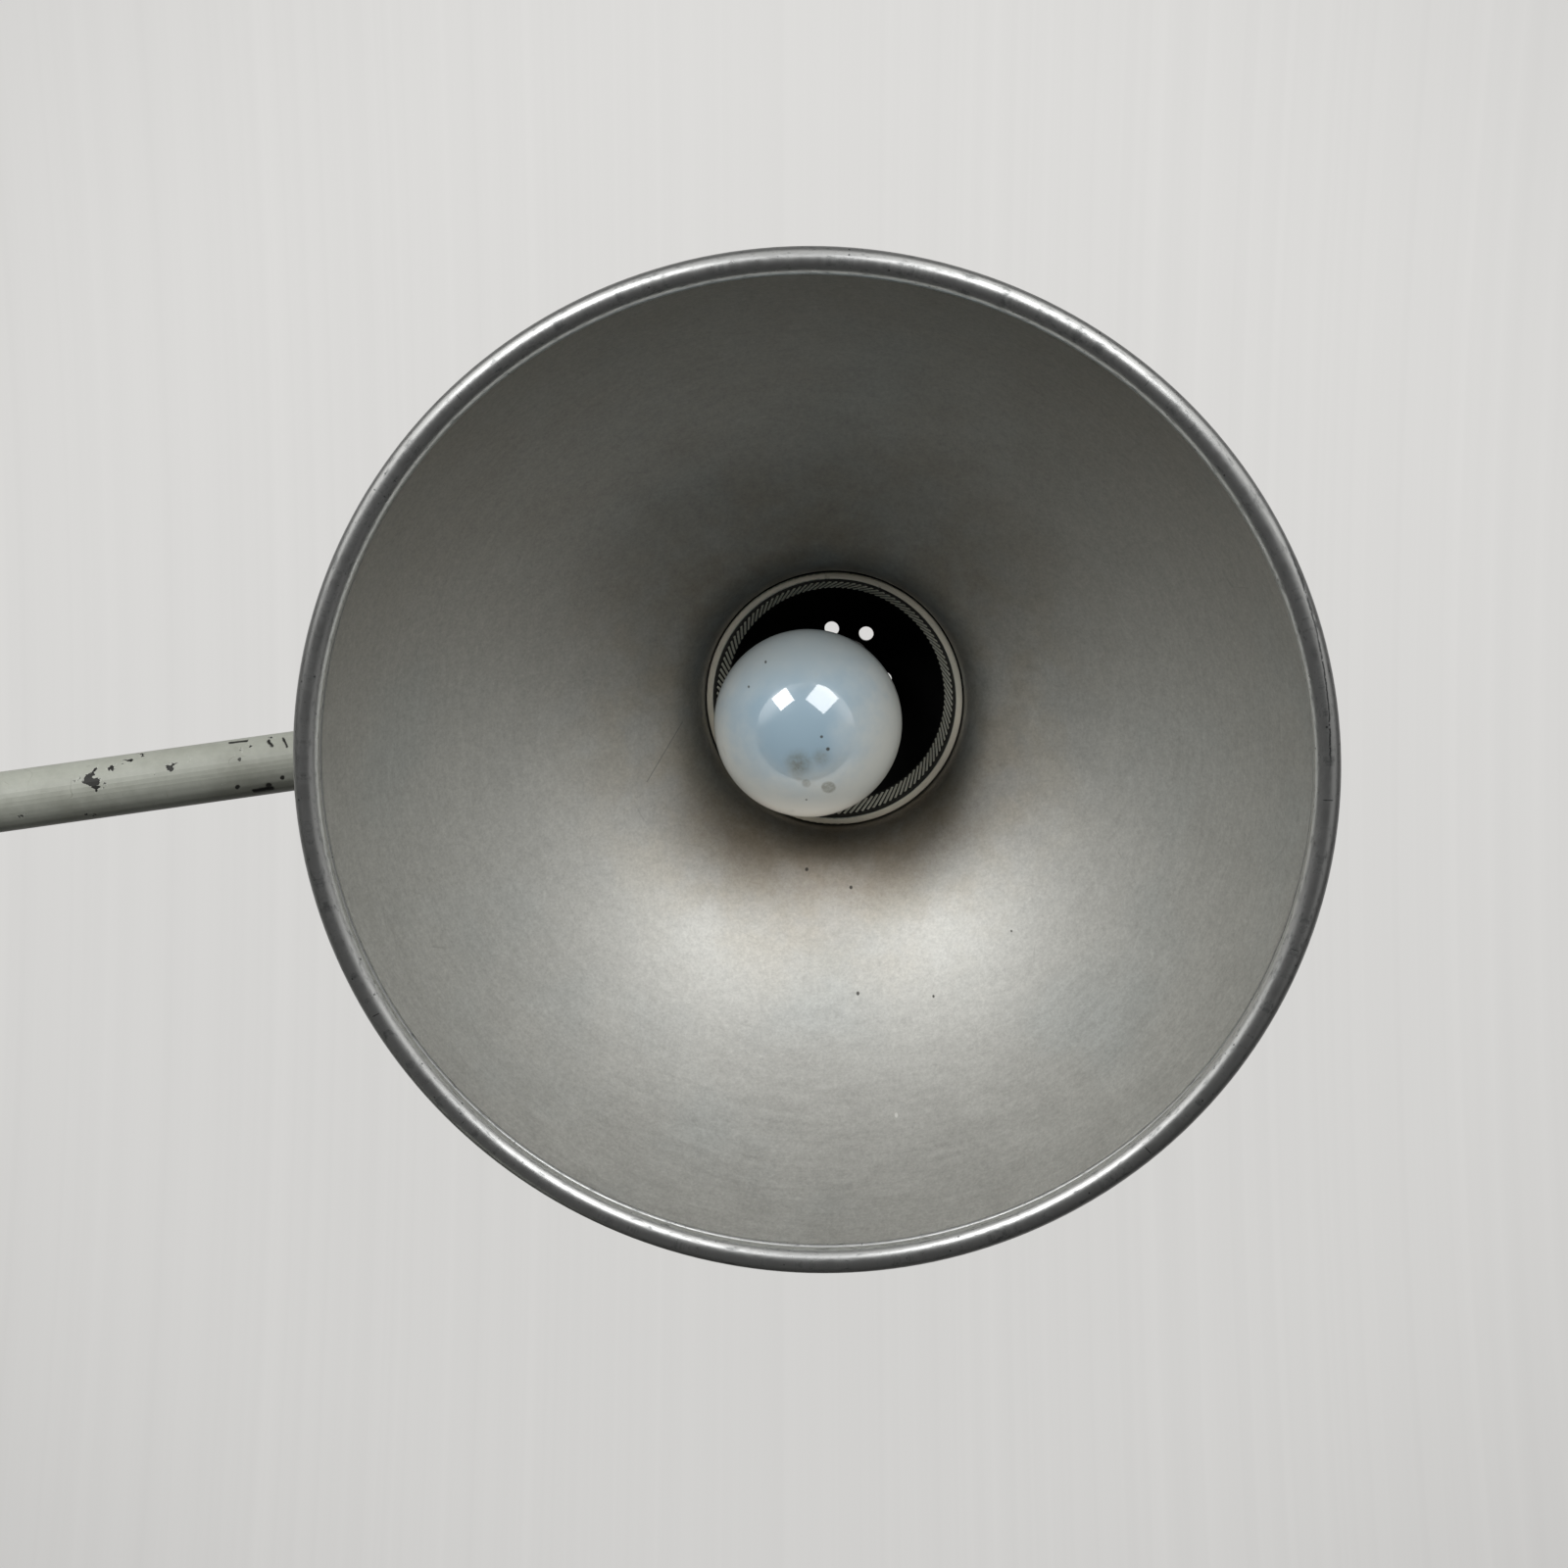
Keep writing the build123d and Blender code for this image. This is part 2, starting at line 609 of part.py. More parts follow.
with BuildPart() as cap_grommet:
    grommet_plane = turned(head_plane, grommet_angle, cap_r, grommet_depth)
    inner_end = grommet_plane.offset(-cap_wall - grommet_inside)
    with BuildSketch(inner_end):
        Circle(grommet_hole_r - seat_gap)
    extrude(amount=cap_wall + grommet_inside + 2 * grommet_lip_start)
    with BuildSketch(grommet_plane.offset(grommet_lip_start)):
        Circle(grommet_hole_r + grommet_lip)
    extrude(amount=grommet_lip)
    lip = cap_grommet.faces().sort_by(axis_of(grommet_plane))[-1]
    fillet(lip.edges(), radius=grommet_round)
    with BuildSketch(inner_end):
        Circle(grommet_bore_r)
    extrude(amount=2 * grommet_hole_r, mode=Mode.SUBTRACT)
cap_grommet.part.label = "cap_grommet"
export_step(cap_grommet.part, "parts/cap_grommet.step")

with BuildPart() as ribbed_ring:
    with BuildSketch(head_section):
        with BuildLine():
            Polyline(
                (ribbed_outer_r - ribbed_lip, ribbed_start),
                (ribbed_outer_r, ribbed_start),
                (ribbed_outer_r, ribbed_end),
                (ribbed_throat_r, ribbed_end),
                (ribbed_throat_r, ribbed_end - ribbed_wall),
                close=True,
            )
        make_face()
    revolve(axis=head_axis)
ribbed_ring.part.label = "ribbed_ring"
export_step(ribbed_ring.part, "parts/ribbed_ring.step")

with BuildPart() as cap_screws:
    seat_r = neck_r + sheet + 2 * running_gap
    for angle in neck_screw_angles:
        place = turned(head_plane, angle, 0, neck_screw_depth)
        with BuildSketch(place.offset(cap_bore_r + loose_gap)):
            Circle(m3_r)
        extrude(amount=seat_r - cap_bore_r)
        with BuildSketch(place.offset(seat_r)):
            Circle(m3_head_r)
        extrude(amount=m3_head_h)
    for place in bracket_screw_planes():
        with BuildSketch(place.offset(-cap_wall - 2 * bracket_thick)):
            Circle(m3_r)
        extrude(amount=cap_wall + 2 * bracket_thick + m3_head_h / 2)
        with BuildSketch(place):
            Circle(m3_head_r)
        extrude(amount=m3_head_h)
cap_screws.part.label = "cap_screws"
export_step(cap_screws.part, "parts/cap_screws.step")

# Side bracket: the tongue of the head's knuckle and the pad that sits on the cap.
with BuildPart() as head_bracket:
    with BuildSketch(head_bracket_plane.offset(-tongue_thick / 2)):
        Circle(knuckle_r)
        with BuildLine():
            Polyline(
                (0, tongue_low),
                (pad_near + tongue_run, pad_low + tongue_inset),
                (pad_near + tongue_run, pad_high - tongue_inset),
                (0, tongue_high),
                close=True,
            )
        make_face()
        Circle(bolt_r + running_gap, mode=Mode.SUBTRACT)
    extrude(amount=tongue_thick)
    with BuildSketch(head_bracket_plane.offset(-pad_half)):
        with Locations(((pad_near + pad_far) / 2, (pad_low + pad_high) / 2)):
            Rectangle(pad_far - pad_near, pad_high - pad_low)
    extrude(amount=2 * pad_half)
    pad_side = head_bracket.faces().sort_by(axis_of(head_bracket_plane))
    fillet(pad_side[0].edges() + pad_side[-1].edges(), radius=pad_round)
    with BuildSketch(head_plane.offset(cap_step)):
        Circle(cap_r + seat_gap)
    extrude(amount=cap_back - cap_step, mode=Mode.SUBTRACT)
head_bracket.part.label = "head_bracket"
export_step(head_bracket.part, "parts/head_bracket.step")

with BuildPart() as head_bracket_screws:
    for high in (pad_low + pad_screw_inset, pad_high - pad_screw_inset):
        for side in (-pad_screw_side, pad_screw_side):
            spot = head_bracket_plane.from_local_coords((pad_near, high, side))
            place = Plane(origin=spot, z_dir=to_pivot)
            with BuildSketch(place):
                Circle(m4_head_r)
            extrude(amount=m4_head_h)
            with BuildSketch(place.offset(m4_head_h - head_slot_depth)):
                Rectangle(head_slot_width, 2 * m4_head_r)
            extrude(amount=head_slot_depth, mode=Mode.SUBTRACT)
head_bracket_screws.part.label = "head_bracket_screws"
export_step(head_bracket_screws.part, "parts/head_bracket_screws.step")


# ---------------------------------------------------------------- lampholder and bulb

holder_foot = head_plane.from_local_coords((0, 0, cap_back - cap_wall))
bulb_centre = head_plane.from_local_coords((bulb_aside, bulb_up, bulb_depth))
holder_way = (bulb_centre - holder_foot).normalized()
bulb_reach = (bulb_centre - holder_foot).length
bracket_turn = radians(bracket_angle)
bracket_way = head_plane.x_dir * -sin(bracket_turn) + head_plane.y_dir * cos(bracket_turn)
holder_plane = Plane(origin=holder_foot, x_dir=bracket_way, z_dir=holder_way)
holder_axis = axis_of(holder_plane)
holder_section = section_of(holder_plane)

with BuildPart() as lampholder_body:
    with BuildSketch(holder_section):
        with BuildLine():
            Line((nipple_r + seat_gap, holder_back), (holder_back_r, holder_back))
            ThreePointArc(
                (holder_back_r, holder_back),
                (holder_cheek_r, holder_cheek),
                (holder_r, holder_shoulder),
            )
            Line((holder_r, holder_shoulder), (holder_r, holder_mouth))
            Line((holder_r, holder_mouth), (holder_bore_r, holder_mouth))
            Line((holder_bore_r, holder_mouth), (holder_bore_r, holder_shoulder))
            Polyline(
                (holder_bore_r, holder_shoulder),
                (holder_bore_r - holder_relief, holder_step),
                (holder_seat_r, holder_seat_top),
                (holder_seat_r, holder_floor),
                (nipple_r + seat_gap, holder_floor),
                (nipple_r + seat_gap, holder_back),
            )
        make_face()
    revolve(axis=holder_axis)
    for ring in range(holder_rings):
        with BuildSketch(holder_plane.offset(holder_ring_first + ring * holder_ring_pitch)):
            Circle(holder_r + cut_over)
            Circle(holder_r - holder_ring_deep, mode=Mode.SUBTRACT)
        extrude(amount=holder_ring_wide, mode=Mode.SUBTRACT)
lampholder_body.part.label = "lampholder_body"
export_step(lampholder_body.part, "parts/lampholder_body.step")

with BuildPart() as lampholder_insulator:
    with BuildSketch(holder_plane.offset(insulator_low)):
        Circle(insulator_r)
        with PolarLocations(insulator_hole_ring, 2):
            Circle(insulator_hole_r, mode=Mode.SUBTRACT)
    extrude(amount=insulator_h)
lampholder_insulator.part.label = "lampholder_insulator"
export_step(lampholder_insulator.part, "parts/lampholder_insulator.step")

with BuildPart() as lampholder_shell:
    with BuildSketch(holder_section):
        with BuildLine():
            Polyline(
                (shell_floor_r, shell_low),
                (shell_r, shell_low),
                (shell_r, shell_high),
                (shell_r - shell_wall, shell_high),
                (shell_r - shell_wall, shell_low + shell_wall),
                (shell_floor_r, shell_low + shell_wall),
                close=True,
            )
        make_face()
    revolve(axis=holder_axis)
lampholder_shell.part.label = "lampholder_shell"
export_step(lampholder_shell.part, "parts/lampholder_shell.step")

with BuildPart() as lampholder_contact:
    with BuildSketch(holder_plane.offset(shell_low)):
        Circle(contact_r)
    extrude(amount=contact_h)
    with BuildSketch(holder_plane.offset(shell_low + contact_h)):
        Rectangle(contact_long, contact_wide)
    extrude(amount=contact_thick)
lampholder_contact.part.label = "lampholder_contact"
export_step(lampholder_contact.part, "parts/lampholder_contact.step")

with BuildPart() as lampholder_nipple:
    with BuildSketch(holder_plane.offset(nipple_low)):
        Circle(nipple_r)
    extrude(amount=nipple_length)
    with BuildSketch(holder_plane.offset(bracket_low - nipple_nut_h)):
        RegularPolygon(nipple_nut_r, 6)
    extrude(amount=nipple_nut_h)
    with BuildSketch(holder_plane.offset(nipple_low)):
        Circle(nipple_bore_r)
    extrude(amount=nipple_length, mode=Mode.SUBTRACT)
lampholder_nipple.part.label = "lampholder_nipple"
export_step(lampholder_nipple.part, "parts/lampholder_nipple.step")

with BuildPart() as lampholder_bracket:
    foot_plane = Plane(origin=holder_foot, x_dir=bracket_way, z_dir=light_way)
    foot_middle = (bracket_foot_near + bracket_foot_far) / 2
    with BuildSketch(foot_plane.offset(bracket_lift)):
        with Locations((foot_middle, 0)):
            Rectangle(bracket_foot_far - bracket_foot_near, 2 * bracket_half)
        with Locations(*[(radius, 0) for radius in bracket_screw_radii]):
            Circle(m3_r + seat_gap, mode=Mode.SUBTRACT)
    extrude(amount=bracket_thick)
    with BuildSketch(foot_plane.offset(bracket_lift)):
        with Locations((bracket_foot_far - bracket_thick / 2, 0)):
            Rectangle(bracket_thick, 2 * bracket_half)
    extrude(amount=bracket_low + bracket_thick)
    with BuildSketch(holder_plane.offset(bracket_low)):
        with Locations(((bracket_foot_far + bracket_top_near) / 2, 0)):
            Rectangle(bracket_foot_far - bracket_top_near, 2 * bracket_top_half)
        Circle(nipple_r + seat_gap, mode=Mode.SUBTRACT)
    extrude(amount=bracket_thick)
lampholder_bracket.part.label = "lampholder_bracket"
export_step(lampholder_bracket.part, "parts/lampholder_bracket.step")

with BuildPart() as bulb_cap:
    with BuildSketch(holder_section):
        with BuildLine():
            Polyline(
                (0, bulb_cap_low - bulb_tip),
                (bulb_tip_r, bulb_cap_low - bulb_tip),
                (bulb_tip_foot_r, bulb_cap_low),
                (bulb_cap_floor_r, bulb_cap_low + bulb_cap_cone_start),
                (bulb_cap_r, bulb_cap_low + bulb_cap_cone),
                (bulb_cap_r, bulb_cap_high),
                (bulb_cap_r - bulb_cap_wall, bulb_cap_high),
                (bulb_cap_r - bulb_cap_wall, bulb_cap_low + bulb_cap_cone + bulb_cap_wall),
                (bulb_cap_floor_r - bulb_cap_wall, bulb_cap_low + bulb_cap_floor),
                (0, bulb_cap_low + bulb_cap_floor),
                close=True,
            )
        make_face()
    revolve(axis=holder_axis)
bulb_cap.part.label = "bulb_cap"
export_step(bulb_cap.part, "parts/bulb_cap.step")

with BuildPart() as bulb_glass:
    tip = (0, bulb_reach + bulb_r)
    leave = radians(bulb_leave_angle)
    bulb_stub_r = bulb_cap_r - bulb_cap_wall - 2 * running_gap
    globe_side = (bulb_r, bulb_reach)
    globe_end = (bulb_r * sin(leave), bulb_reach + bulb_r * cos(leave))
    with BuildSketch(holder_section):
        with BuildLine():
            globe = ThreePointArc(tip, globe_side, globe_end)
            neck = JernArc(globe @ 1, globe % 1, bulb_neck_bend_r, bulb_leave_angle - 90)
            throat = Line(neck @ 1, (bulb_neck_r, bulb_cap_high + bulb_taper))
            taper = Line(throat @ 1, (bulb_stub_r, bulb_cap_high + bulb_stub_start))
            Line(taper @ 1, (bulb_stub_r, bulb_cap_high - bulb_stub))
            offset(amount=bulb_glass_wall, side=Side.RIGHT)
        make_face()
        split(bisect_by=Plane.YZ, keep=Keep.TOP)
    revolve(axis=holder_axis)
bulb_glass.part.label = "bulb_glass"
export_step(bulb_glass.part, "parts/bulb_glass.step")


# ---------------------------------------------------------------- base

with BuildPart() as base_casting:
    with BuildSketch(Plane.XZ):
        with BuildLine():
            Polyline(
                (0, pad_thick),
                (base_r - base_foot_bevel, pad_thick),
                (base_r, pad_thick + base_foot_bevel),
                (base_r, base_side_top),
            )
            edge = TangentArc((base_r, base_side_top), (dome_foot_r, dome_foot_z), tangent=(0, 1))
            TangentArc(edge @ 1, (dome_top_r, dome_top_z), tangent=dome_way)
            Polyline(
                (dome_top_r, dome_top_z),
                (hub_r, dome_top_z + hub_foot_rise),
                (hub_r, hub_top - hub_bevel),
                (hub_r - hub_bevel, hub_top),
                (0, hub_top),
                (0, pad_thick),
            )
        make_face()
    revolve(axis=Axis.Z)
    with BuildSketch(Plane.XY.offset(pad_thick)):
        Circle(cavity_r)
    extrude(amount=cavity_top - pad_thick, mode=Mode.SUBTRACT)
    with BuildSketch(Plane.XY.offset(pad_thick)):
        Circle(plate_r + plate_gap)
    extrude(amount=plate_thick, mode=Mode.SUBTRACT)
    with BuildSketch(Plane.XY.offset(cavity_top)):
        Circle(bush_r)
    extrude(amount=hub_top - cavity_top, mode=Mode.SUBTRACT)
    with BuildSketch(Plane.XY.offset(switch_seat_z)):
        with Locations((switch_x, 0)):
            Circle(switch_spot_r)
    extrude(amount=hub_top, mode=Mode.SUBTRACT)
    with BuildSketch(Plane.XY.offset(cavity_top)):
        with Locations((switch_x, 0)):
            Circle(switch_barrel_r + switch_barrel_gap)
    extrude(amount=hub_top, mode=Mode.SUBTRACT)
    with BuildSketch(Plane.YZ.offset(-base_r)):
        with Locations((0, gland_z)):
            Circle(gland_r + seat_gap)
    extrude(amount=base_r - cavity_r + 2 * cut_over, mode=Mode.SUBTRACT)
    with BuildSketch(Plane.YZ.offset(-base_r - cut_over)):
        with Locations((0, gland_z)):
            Circle(gland_flange_r + gland_seat_gap)
    extrude(amount=cut_over + gland_sunk, mode=Mode.SUBTRACT)
    with BuildSketch(Plane.XY.offset(pad_thick + plate_thick)):
        with PolarLocations(plate_screw_ring, plate_screws, start_angle=45):
            Circle(m3_r + seat_gap)
    extrude(amount=plate_screw_hole, mode=Mode.SUBTRACT)
base_casting.part.label = "base_casting"
export_step(base_casting.part, "parts/base_casting.step")

with BuildPart() as bottom_pad:
    with BuildSketch(Plane.XY):
        Circle(pad_r)
    extrude(amount=pad_thick)
bottom_pad.part.label = "bottom_pad"
export_step(bottom_pad.part, "parts/bottom_pad.step")

standing = (Align.CENTER, Align.CENTER, Align.MIN)

with BuildPart() as bottom_plate:
    with BuildSketch(Plane.XY.offset(pad_thick)):
        Circle(plate_r)
        with PolarLocations(plate_screw_ring, plate_screws, start_angle=45):
            Circle(m3_r + seat_gap, mode=Mode.SUBTRACT)
    extrude(amount=plate_thick)
    with Locations(Plane.XY.offset(pad_thick)):
        with PolarLocations(plate_screw_ring, plate_screws, start_angle=45):
            Cone(
                m3_head_r, m3_r + seat_gap, countersink, align=standing, mode=Mode.SUBTRACT
            )
bottom_plate.part.label = "bottom_plate"
export_step(bottom_plate.part, "parts/bottom_plate.step")

with BuildPart() as bottom_plate_screws:
    with Locations(Plane.XY.offset(pad_thick)):
        with PolarLocations(plate_screw_ring, plate_screws, start_angle=45):
            Cone(m3_head_r - seat_gap, m3_r, countersink, align=standing)
            Cylinder(m3_r, plate_screw_length, align=standing)
bottom_plate_screws.part.label = "bottom_plate_screws"
export_step(bottom_plate_screws.part, "parts/bottom_plate_screws.step")

with BuildPart() as cord_gland:
    with BuildSketch(Plane.YZ.offset(-base_r + gland_sunk - gland_flange)):
        with Locations((0, gland_z)):
            Circle(gland_flange_r)
    extrude(amount=gland_flange)
    outer_lip = cord_gland.faces().sort_by(Axis.X)[0]
    fillet(outer_lip.edges(), radius=gland_round)
    with BuildSketch(Plane.YZ.offset(-base_r + gland_sunk)):
        with Locations((0, gland_z)):
            Circle(gland_r)
    extrude(amount=base_r - cavity_r)
    with BuildSketch(Plane.YZ.offset(-base_r - gland_flange)):
        with Locations((0, gland_z)):
            Circle(gland_bore_r)
    extrude(amount=base_r - cavity_r + 2 * gland_flange, mode=Mode.SUBTRACT)
cord_gland.part.label = "cord_gland"
export_step(cord_gland.part, "parts/cord_gland.step")

with BuildPart() as cord_grip:
    grip_foot = plate_thick + pad_thick + grip_clear
    with BuildSketch(Plane.XY.offset(grip_foot)):
        with Locations((grip_x, 0)):
            Rectangle(grip_long, grip_wide)
    extrude(amount=cavity_top - grip_foot)
    chamfer(cord_grip.edges().filter_by(Axis.Z), length=grip_corner)
    with BuildSketch(Plane.YZ.offset(grip_x - grip_long)):
        with Locations((0, gland_z)):
            Circle(gland_bore_r)
    extrude(amount=2 * grip_long, mode=Mode.SUBTRACT)
    with BuildSketch(Plane.XY):
        with Locations((grip_x, -grip_screw_side), (grip_x, grip_screw_side)):
            Circle(m3_r)
    extrude(amount=cavity_top, mode=Mode.SUBTRACT)
cord_grip.part.label = "cord_grip"
export_step(cord_grip.part, "parts/cord_grip.step")

with BuildPart() as terminal_block:
    with BuildSketch(Plane.XY.offset(cavity_top - terminal_h)):
        with Locations((terminal_x, terminal_y)):
            Rectangle(terminal_long, terminal_wide)
    extrude(amount=terminal_h)
    with BuildSketch(Plane.YZ.offset(terminal_x - terminal_long)):
        for side in (-terminal_hole_side, terminal_hole_side):
            with Locations((terminal_y + side, cavity_top - terminal_h / 2)):
                Circle(terminal_hole_r)
    extrude(amount=2 * terminal_long, mode=Mode.SUBTRACT)
terminal_block.part.label = "terminal_block"
export_step(terminal_block.part, "parts/terminal_block.step")

with BuildPart() as swivel_bush:
    with BuildSketch(Plane.XY.offset(cavity_top)):
        Circle(bush_r - seat_gap)
        Circle(journal_r + running_gap, mode=Mode.SUBTRACT)
    extrude(amount=hub_top - cavity_top)
swivel_bush.part.label = "swivel_bush"
export_step(swivel_bush.part, "parts/swivel_bush.step")

with BuildPart() as swivel_thrust_washer:
    with BuildSketch(Plane.XY.offset(hub_top)):
        Circle(stem_flange_r - stem_bevel)
        Circle(journal_r + loose_gap, mode=Mode.SUBTRACT)
    extrude(amount=thrust_thick)
swivel_thrust_washer.part.label = "swivel_thrust_washer"
export_step(swivel_thrust_washer.part, "parts/swivel_thrust_washer.step")

with BuildPart() as swivel_stem:
    flange_low = hub_top + thrust_thick
    flange_high = shoulder_height - collar_end
    with BuildSketch(Plane.XY.offset(stem_foot)):
        Circle(journal_r)
    extrude(amount=flange_low - stem_foot)
    with BuildSketch(Plane.XY.offset(flange_low)):
        Circle(stem_flange_r)
    extrude(amount=flange_high - flange_low)
    chamfer(swivel_stem.faces().sort_by(Axis.Z)[-1].edges(), length=stem_bevel)
    with BuildSketch(Plane.XY.offset(flange_high)):
        Circle(tube_r)
    extrude(amount=socket_depth - loose_gap)
    with BuildSketch(Plane.XY.offset(stem_foot)):
        Circle(stem_bore_r)
    extrude(amount=shoulder_height, mode=Mode.SUBTRACT)
swivel_stem.part.label = "swivel_stem"
export_step(swivel_stem.part, "parts/swivel_stem.step")

with BuildPart() as swivel_spring_washer:
    with BuildSketch(Plane.XY.offset(cavity_top - nut_washer_thick)):
        Circle(nut_r)
        Circle(journal_r + loose_gap, mode=Mode.SUBTRACT)
    extrude(amount=nut_washer_thick)
swivel_spring_washer.part.label = "swivel_spring_washer"
export_step(swivel_spring_washer.part, "parts/swivel_spring_washer.step")

with BuildPart() as swivel_nut:
    with BuildSketch(Plane.XY.offset(cavity_top - nut_washer_thick - nut_h)):
        RegularPolygon(nut_r, 6)
        Circle(journal_r + seat_gap, mode=Mode.SUBTRACT)
    extrude(amount=nut_h)
swivel_nut.part.label = "swivel_nut"
export_step(swivel_nut.part, "parts/swivel_nut.step")

# ---------------------------------------------------------------- switch

with BuildPart() as switch_body:
    with BuildSketch(Plane.XY.offset(switch_box_low)):
        with Locations((switch_x, 0)):
            Rectangle(switch_box_long, switch_box_wide)
    extrude(amount=cavity_top - switch_box_low)
    with BuildSketch(Plane.XY.offset(cavity_top)):
        with Locations((switch_x, 0)):
            Circle(switch_barrel_r)
    extrude(amount=switch_seat_z + switch_barrel_proud - cavity_top)
    with BuildSketch(Plane.XY.offset(button_bore_floor)):
        with Locations((switch_x, 0)):
            Circle(button_r + running_gap)
    extrude(amount=hub_top, mode=Mode.SUBTRACT)
switch_body.part.label = "switch_body"
export_step(switch_body.part, "parts/switch_body.step")

with BuildPart() as switch_ring_nut:
    with BuildSketch(Plane.XY.offset(switch_seat_z)):
        with Locations((switch_x, 0)):
            Circle(ring_nut_r)
            Circle(switch_barrel_r + seat_gap, mode=Mode.SUBTRACT)
    extrude(amount=ring_nut_h)
    nut_rims = switch_ring_nut.faces().sort_by(Axis.Z)[-1].edges().sort_by(SortBy.RADIUS)
    chamfer(nut_rims[-1], length=ring_nut_bevel)
switch_ring_nut.part.label = "switch_ring_nut"
export_step(switch_ring_nut.part, "parts/switch_ring_nut.step")

with BuildPart() as switch_button:
    with BuildSketch(Plane.XY.offset(button_top - button_length)):
        with Locations((switch_x, 0)):
            Circle(button_r)
    extrude(amount=button_length)
    fillet(switch_button.faces().sort_by(Axis.Z)[-1].edges(), radius=button_round)
switch_button.part.label = "switch_button"
export_step(switch_button.part, "parts/switch_button.step")

with BuildPart() as switch_spring:
    spring_low = button_bore_floor + spring_wire_r
    spring_high = button_top - button_length - spring_wire_r
    with BuildLine() as coil:
        Helix(
            pitch=(spring_high - spring_low) / spring_turns,
            height=spring_high - spring_low,
            radius=spring_r,
            center=(switch_x, 0, spring_low),
        )
    with BuildSketch(Plane(origin=coil.line @ 0, z_dir=coil.line % 0)):
        Circle(spring_wire_r)
    sweep()
switch_spring.part.label = "switch_spring"
export_step(switch_spring.part, "parts/switch_spring.step")
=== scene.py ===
"""Looks of a jointed desk lamp: its finishes, its turned and moulded pieces, and a plain studio."""

import json
import logging
import math
from dataclasses import dataclass, field
from enum import Enum

import bmesh
import bpy
from mathutils import Matrix, Vector

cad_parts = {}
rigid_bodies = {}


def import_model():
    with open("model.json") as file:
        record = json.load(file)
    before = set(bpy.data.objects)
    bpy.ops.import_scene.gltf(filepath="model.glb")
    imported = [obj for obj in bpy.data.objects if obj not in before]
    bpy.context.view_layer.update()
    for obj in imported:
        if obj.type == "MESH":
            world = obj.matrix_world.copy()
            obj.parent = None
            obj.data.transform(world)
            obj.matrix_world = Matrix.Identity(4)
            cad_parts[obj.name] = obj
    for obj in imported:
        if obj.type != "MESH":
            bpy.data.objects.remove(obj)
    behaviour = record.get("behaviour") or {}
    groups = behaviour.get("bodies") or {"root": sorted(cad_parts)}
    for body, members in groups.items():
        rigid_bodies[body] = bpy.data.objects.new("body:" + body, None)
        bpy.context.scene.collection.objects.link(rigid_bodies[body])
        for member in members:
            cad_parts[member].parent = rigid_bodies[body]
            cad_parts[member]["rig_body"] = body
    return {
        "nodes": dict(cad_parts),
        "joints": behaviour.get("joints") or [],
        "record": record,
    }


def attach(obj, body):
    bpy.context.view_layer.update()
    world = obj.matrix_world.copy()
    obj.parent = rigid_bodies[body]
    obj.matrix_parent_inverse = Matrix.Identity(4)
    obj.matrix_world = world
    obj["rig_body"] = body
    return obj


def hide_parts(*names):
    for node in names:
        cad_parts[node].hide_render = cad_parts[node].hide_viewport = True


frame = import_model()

log = logging.getLogger("desk_lamp")
MM = 0.001
FULL_TURN = 2 * math.pi
Colour = tuple[float, float, float]


# ------------------------------------------------------------------ frames and shaping


@dataclass(frozen=True)
class Place:
    """A sub-assembly's own frame: an origin in metres, and the directions of its X and Z."""

    origin: Vector
    x: Vector
    z: Vector

    @property
    def y(self) -> Vector:
        """The direction that completes the frame."""
        return self.z.cross(self.x)

    def matrix(self) -> Matrix:
        """Turns the frame's own coordinates, in metres, into the row frame's."""
        turn = Matrix((self.x, self.y, self.z)).transposed()
        return Matrix.Translation(self.origin) @ turn.to_4x4()

    def point(self, x: float, y: float, z: float) -> Vector:
        """A point of the frame, given in millimetres, in the row frame."""
        return self.matrix() @ (Vector((x, y, z)) * MM)


def joint_named(name: str) -> dict:
    """The record's entry for one joint.

    Args:
        name: the joint's name.

    Returns:
        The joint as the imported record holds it.
    """
    return next(j for j in frame["joints"] if j["name"] == name)


@dataclass(frozen=True)
class Joints:
    """Where the lamp bends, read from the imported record."""

    head_pivot: Vector = field(default_factory=lambda: Vector(joint_named("head_tilt")["pos_m"]))
    head_pin: Vector = field(default_factory=lambda: Vector(joint_named("head_tilt")["axis"]))
    upper_way: Vector = field(default_factory=lambda: Vector(joint_named("head_swivel")["axis"]))
    head_angle: float = 77.3  # degrees between the arm and the light's direction
    pivot_offset: float = 75.0  # mm, head pivot to the head's axis
    pivot_depth: float = 143.2  # mm, head pivot behind the rim

    def head(self) -> Place:
        """The head's frame: origin in the rim's plane, Z towards the back, Y along the pin."""
        to_elbow = -self.upper_way
        across = self.head_pin.cross(to_elbow)
        turn = math.radians(self.head_angle)
        light_way = to_elbow * math.cos(turn) + across * math.sin(turn)
        to_pivot = to_elbow * math.sin(turn) - across * math.cos(turn)
        centre = self.head_pivot + (light_way * self.pivot_depth - to_pivot * self.pivot_offset) * MM
        return Place(centre, to_pivot.normalized(), -light_way.normalized())

    def upper_arm(self) -> Place:
        """The upper tube's frame: origin at the head's pivot, X along the tube, Z to the front."""
        return Place(self.head_pivot, self.upper_way, Vector((0, -1, 0)))


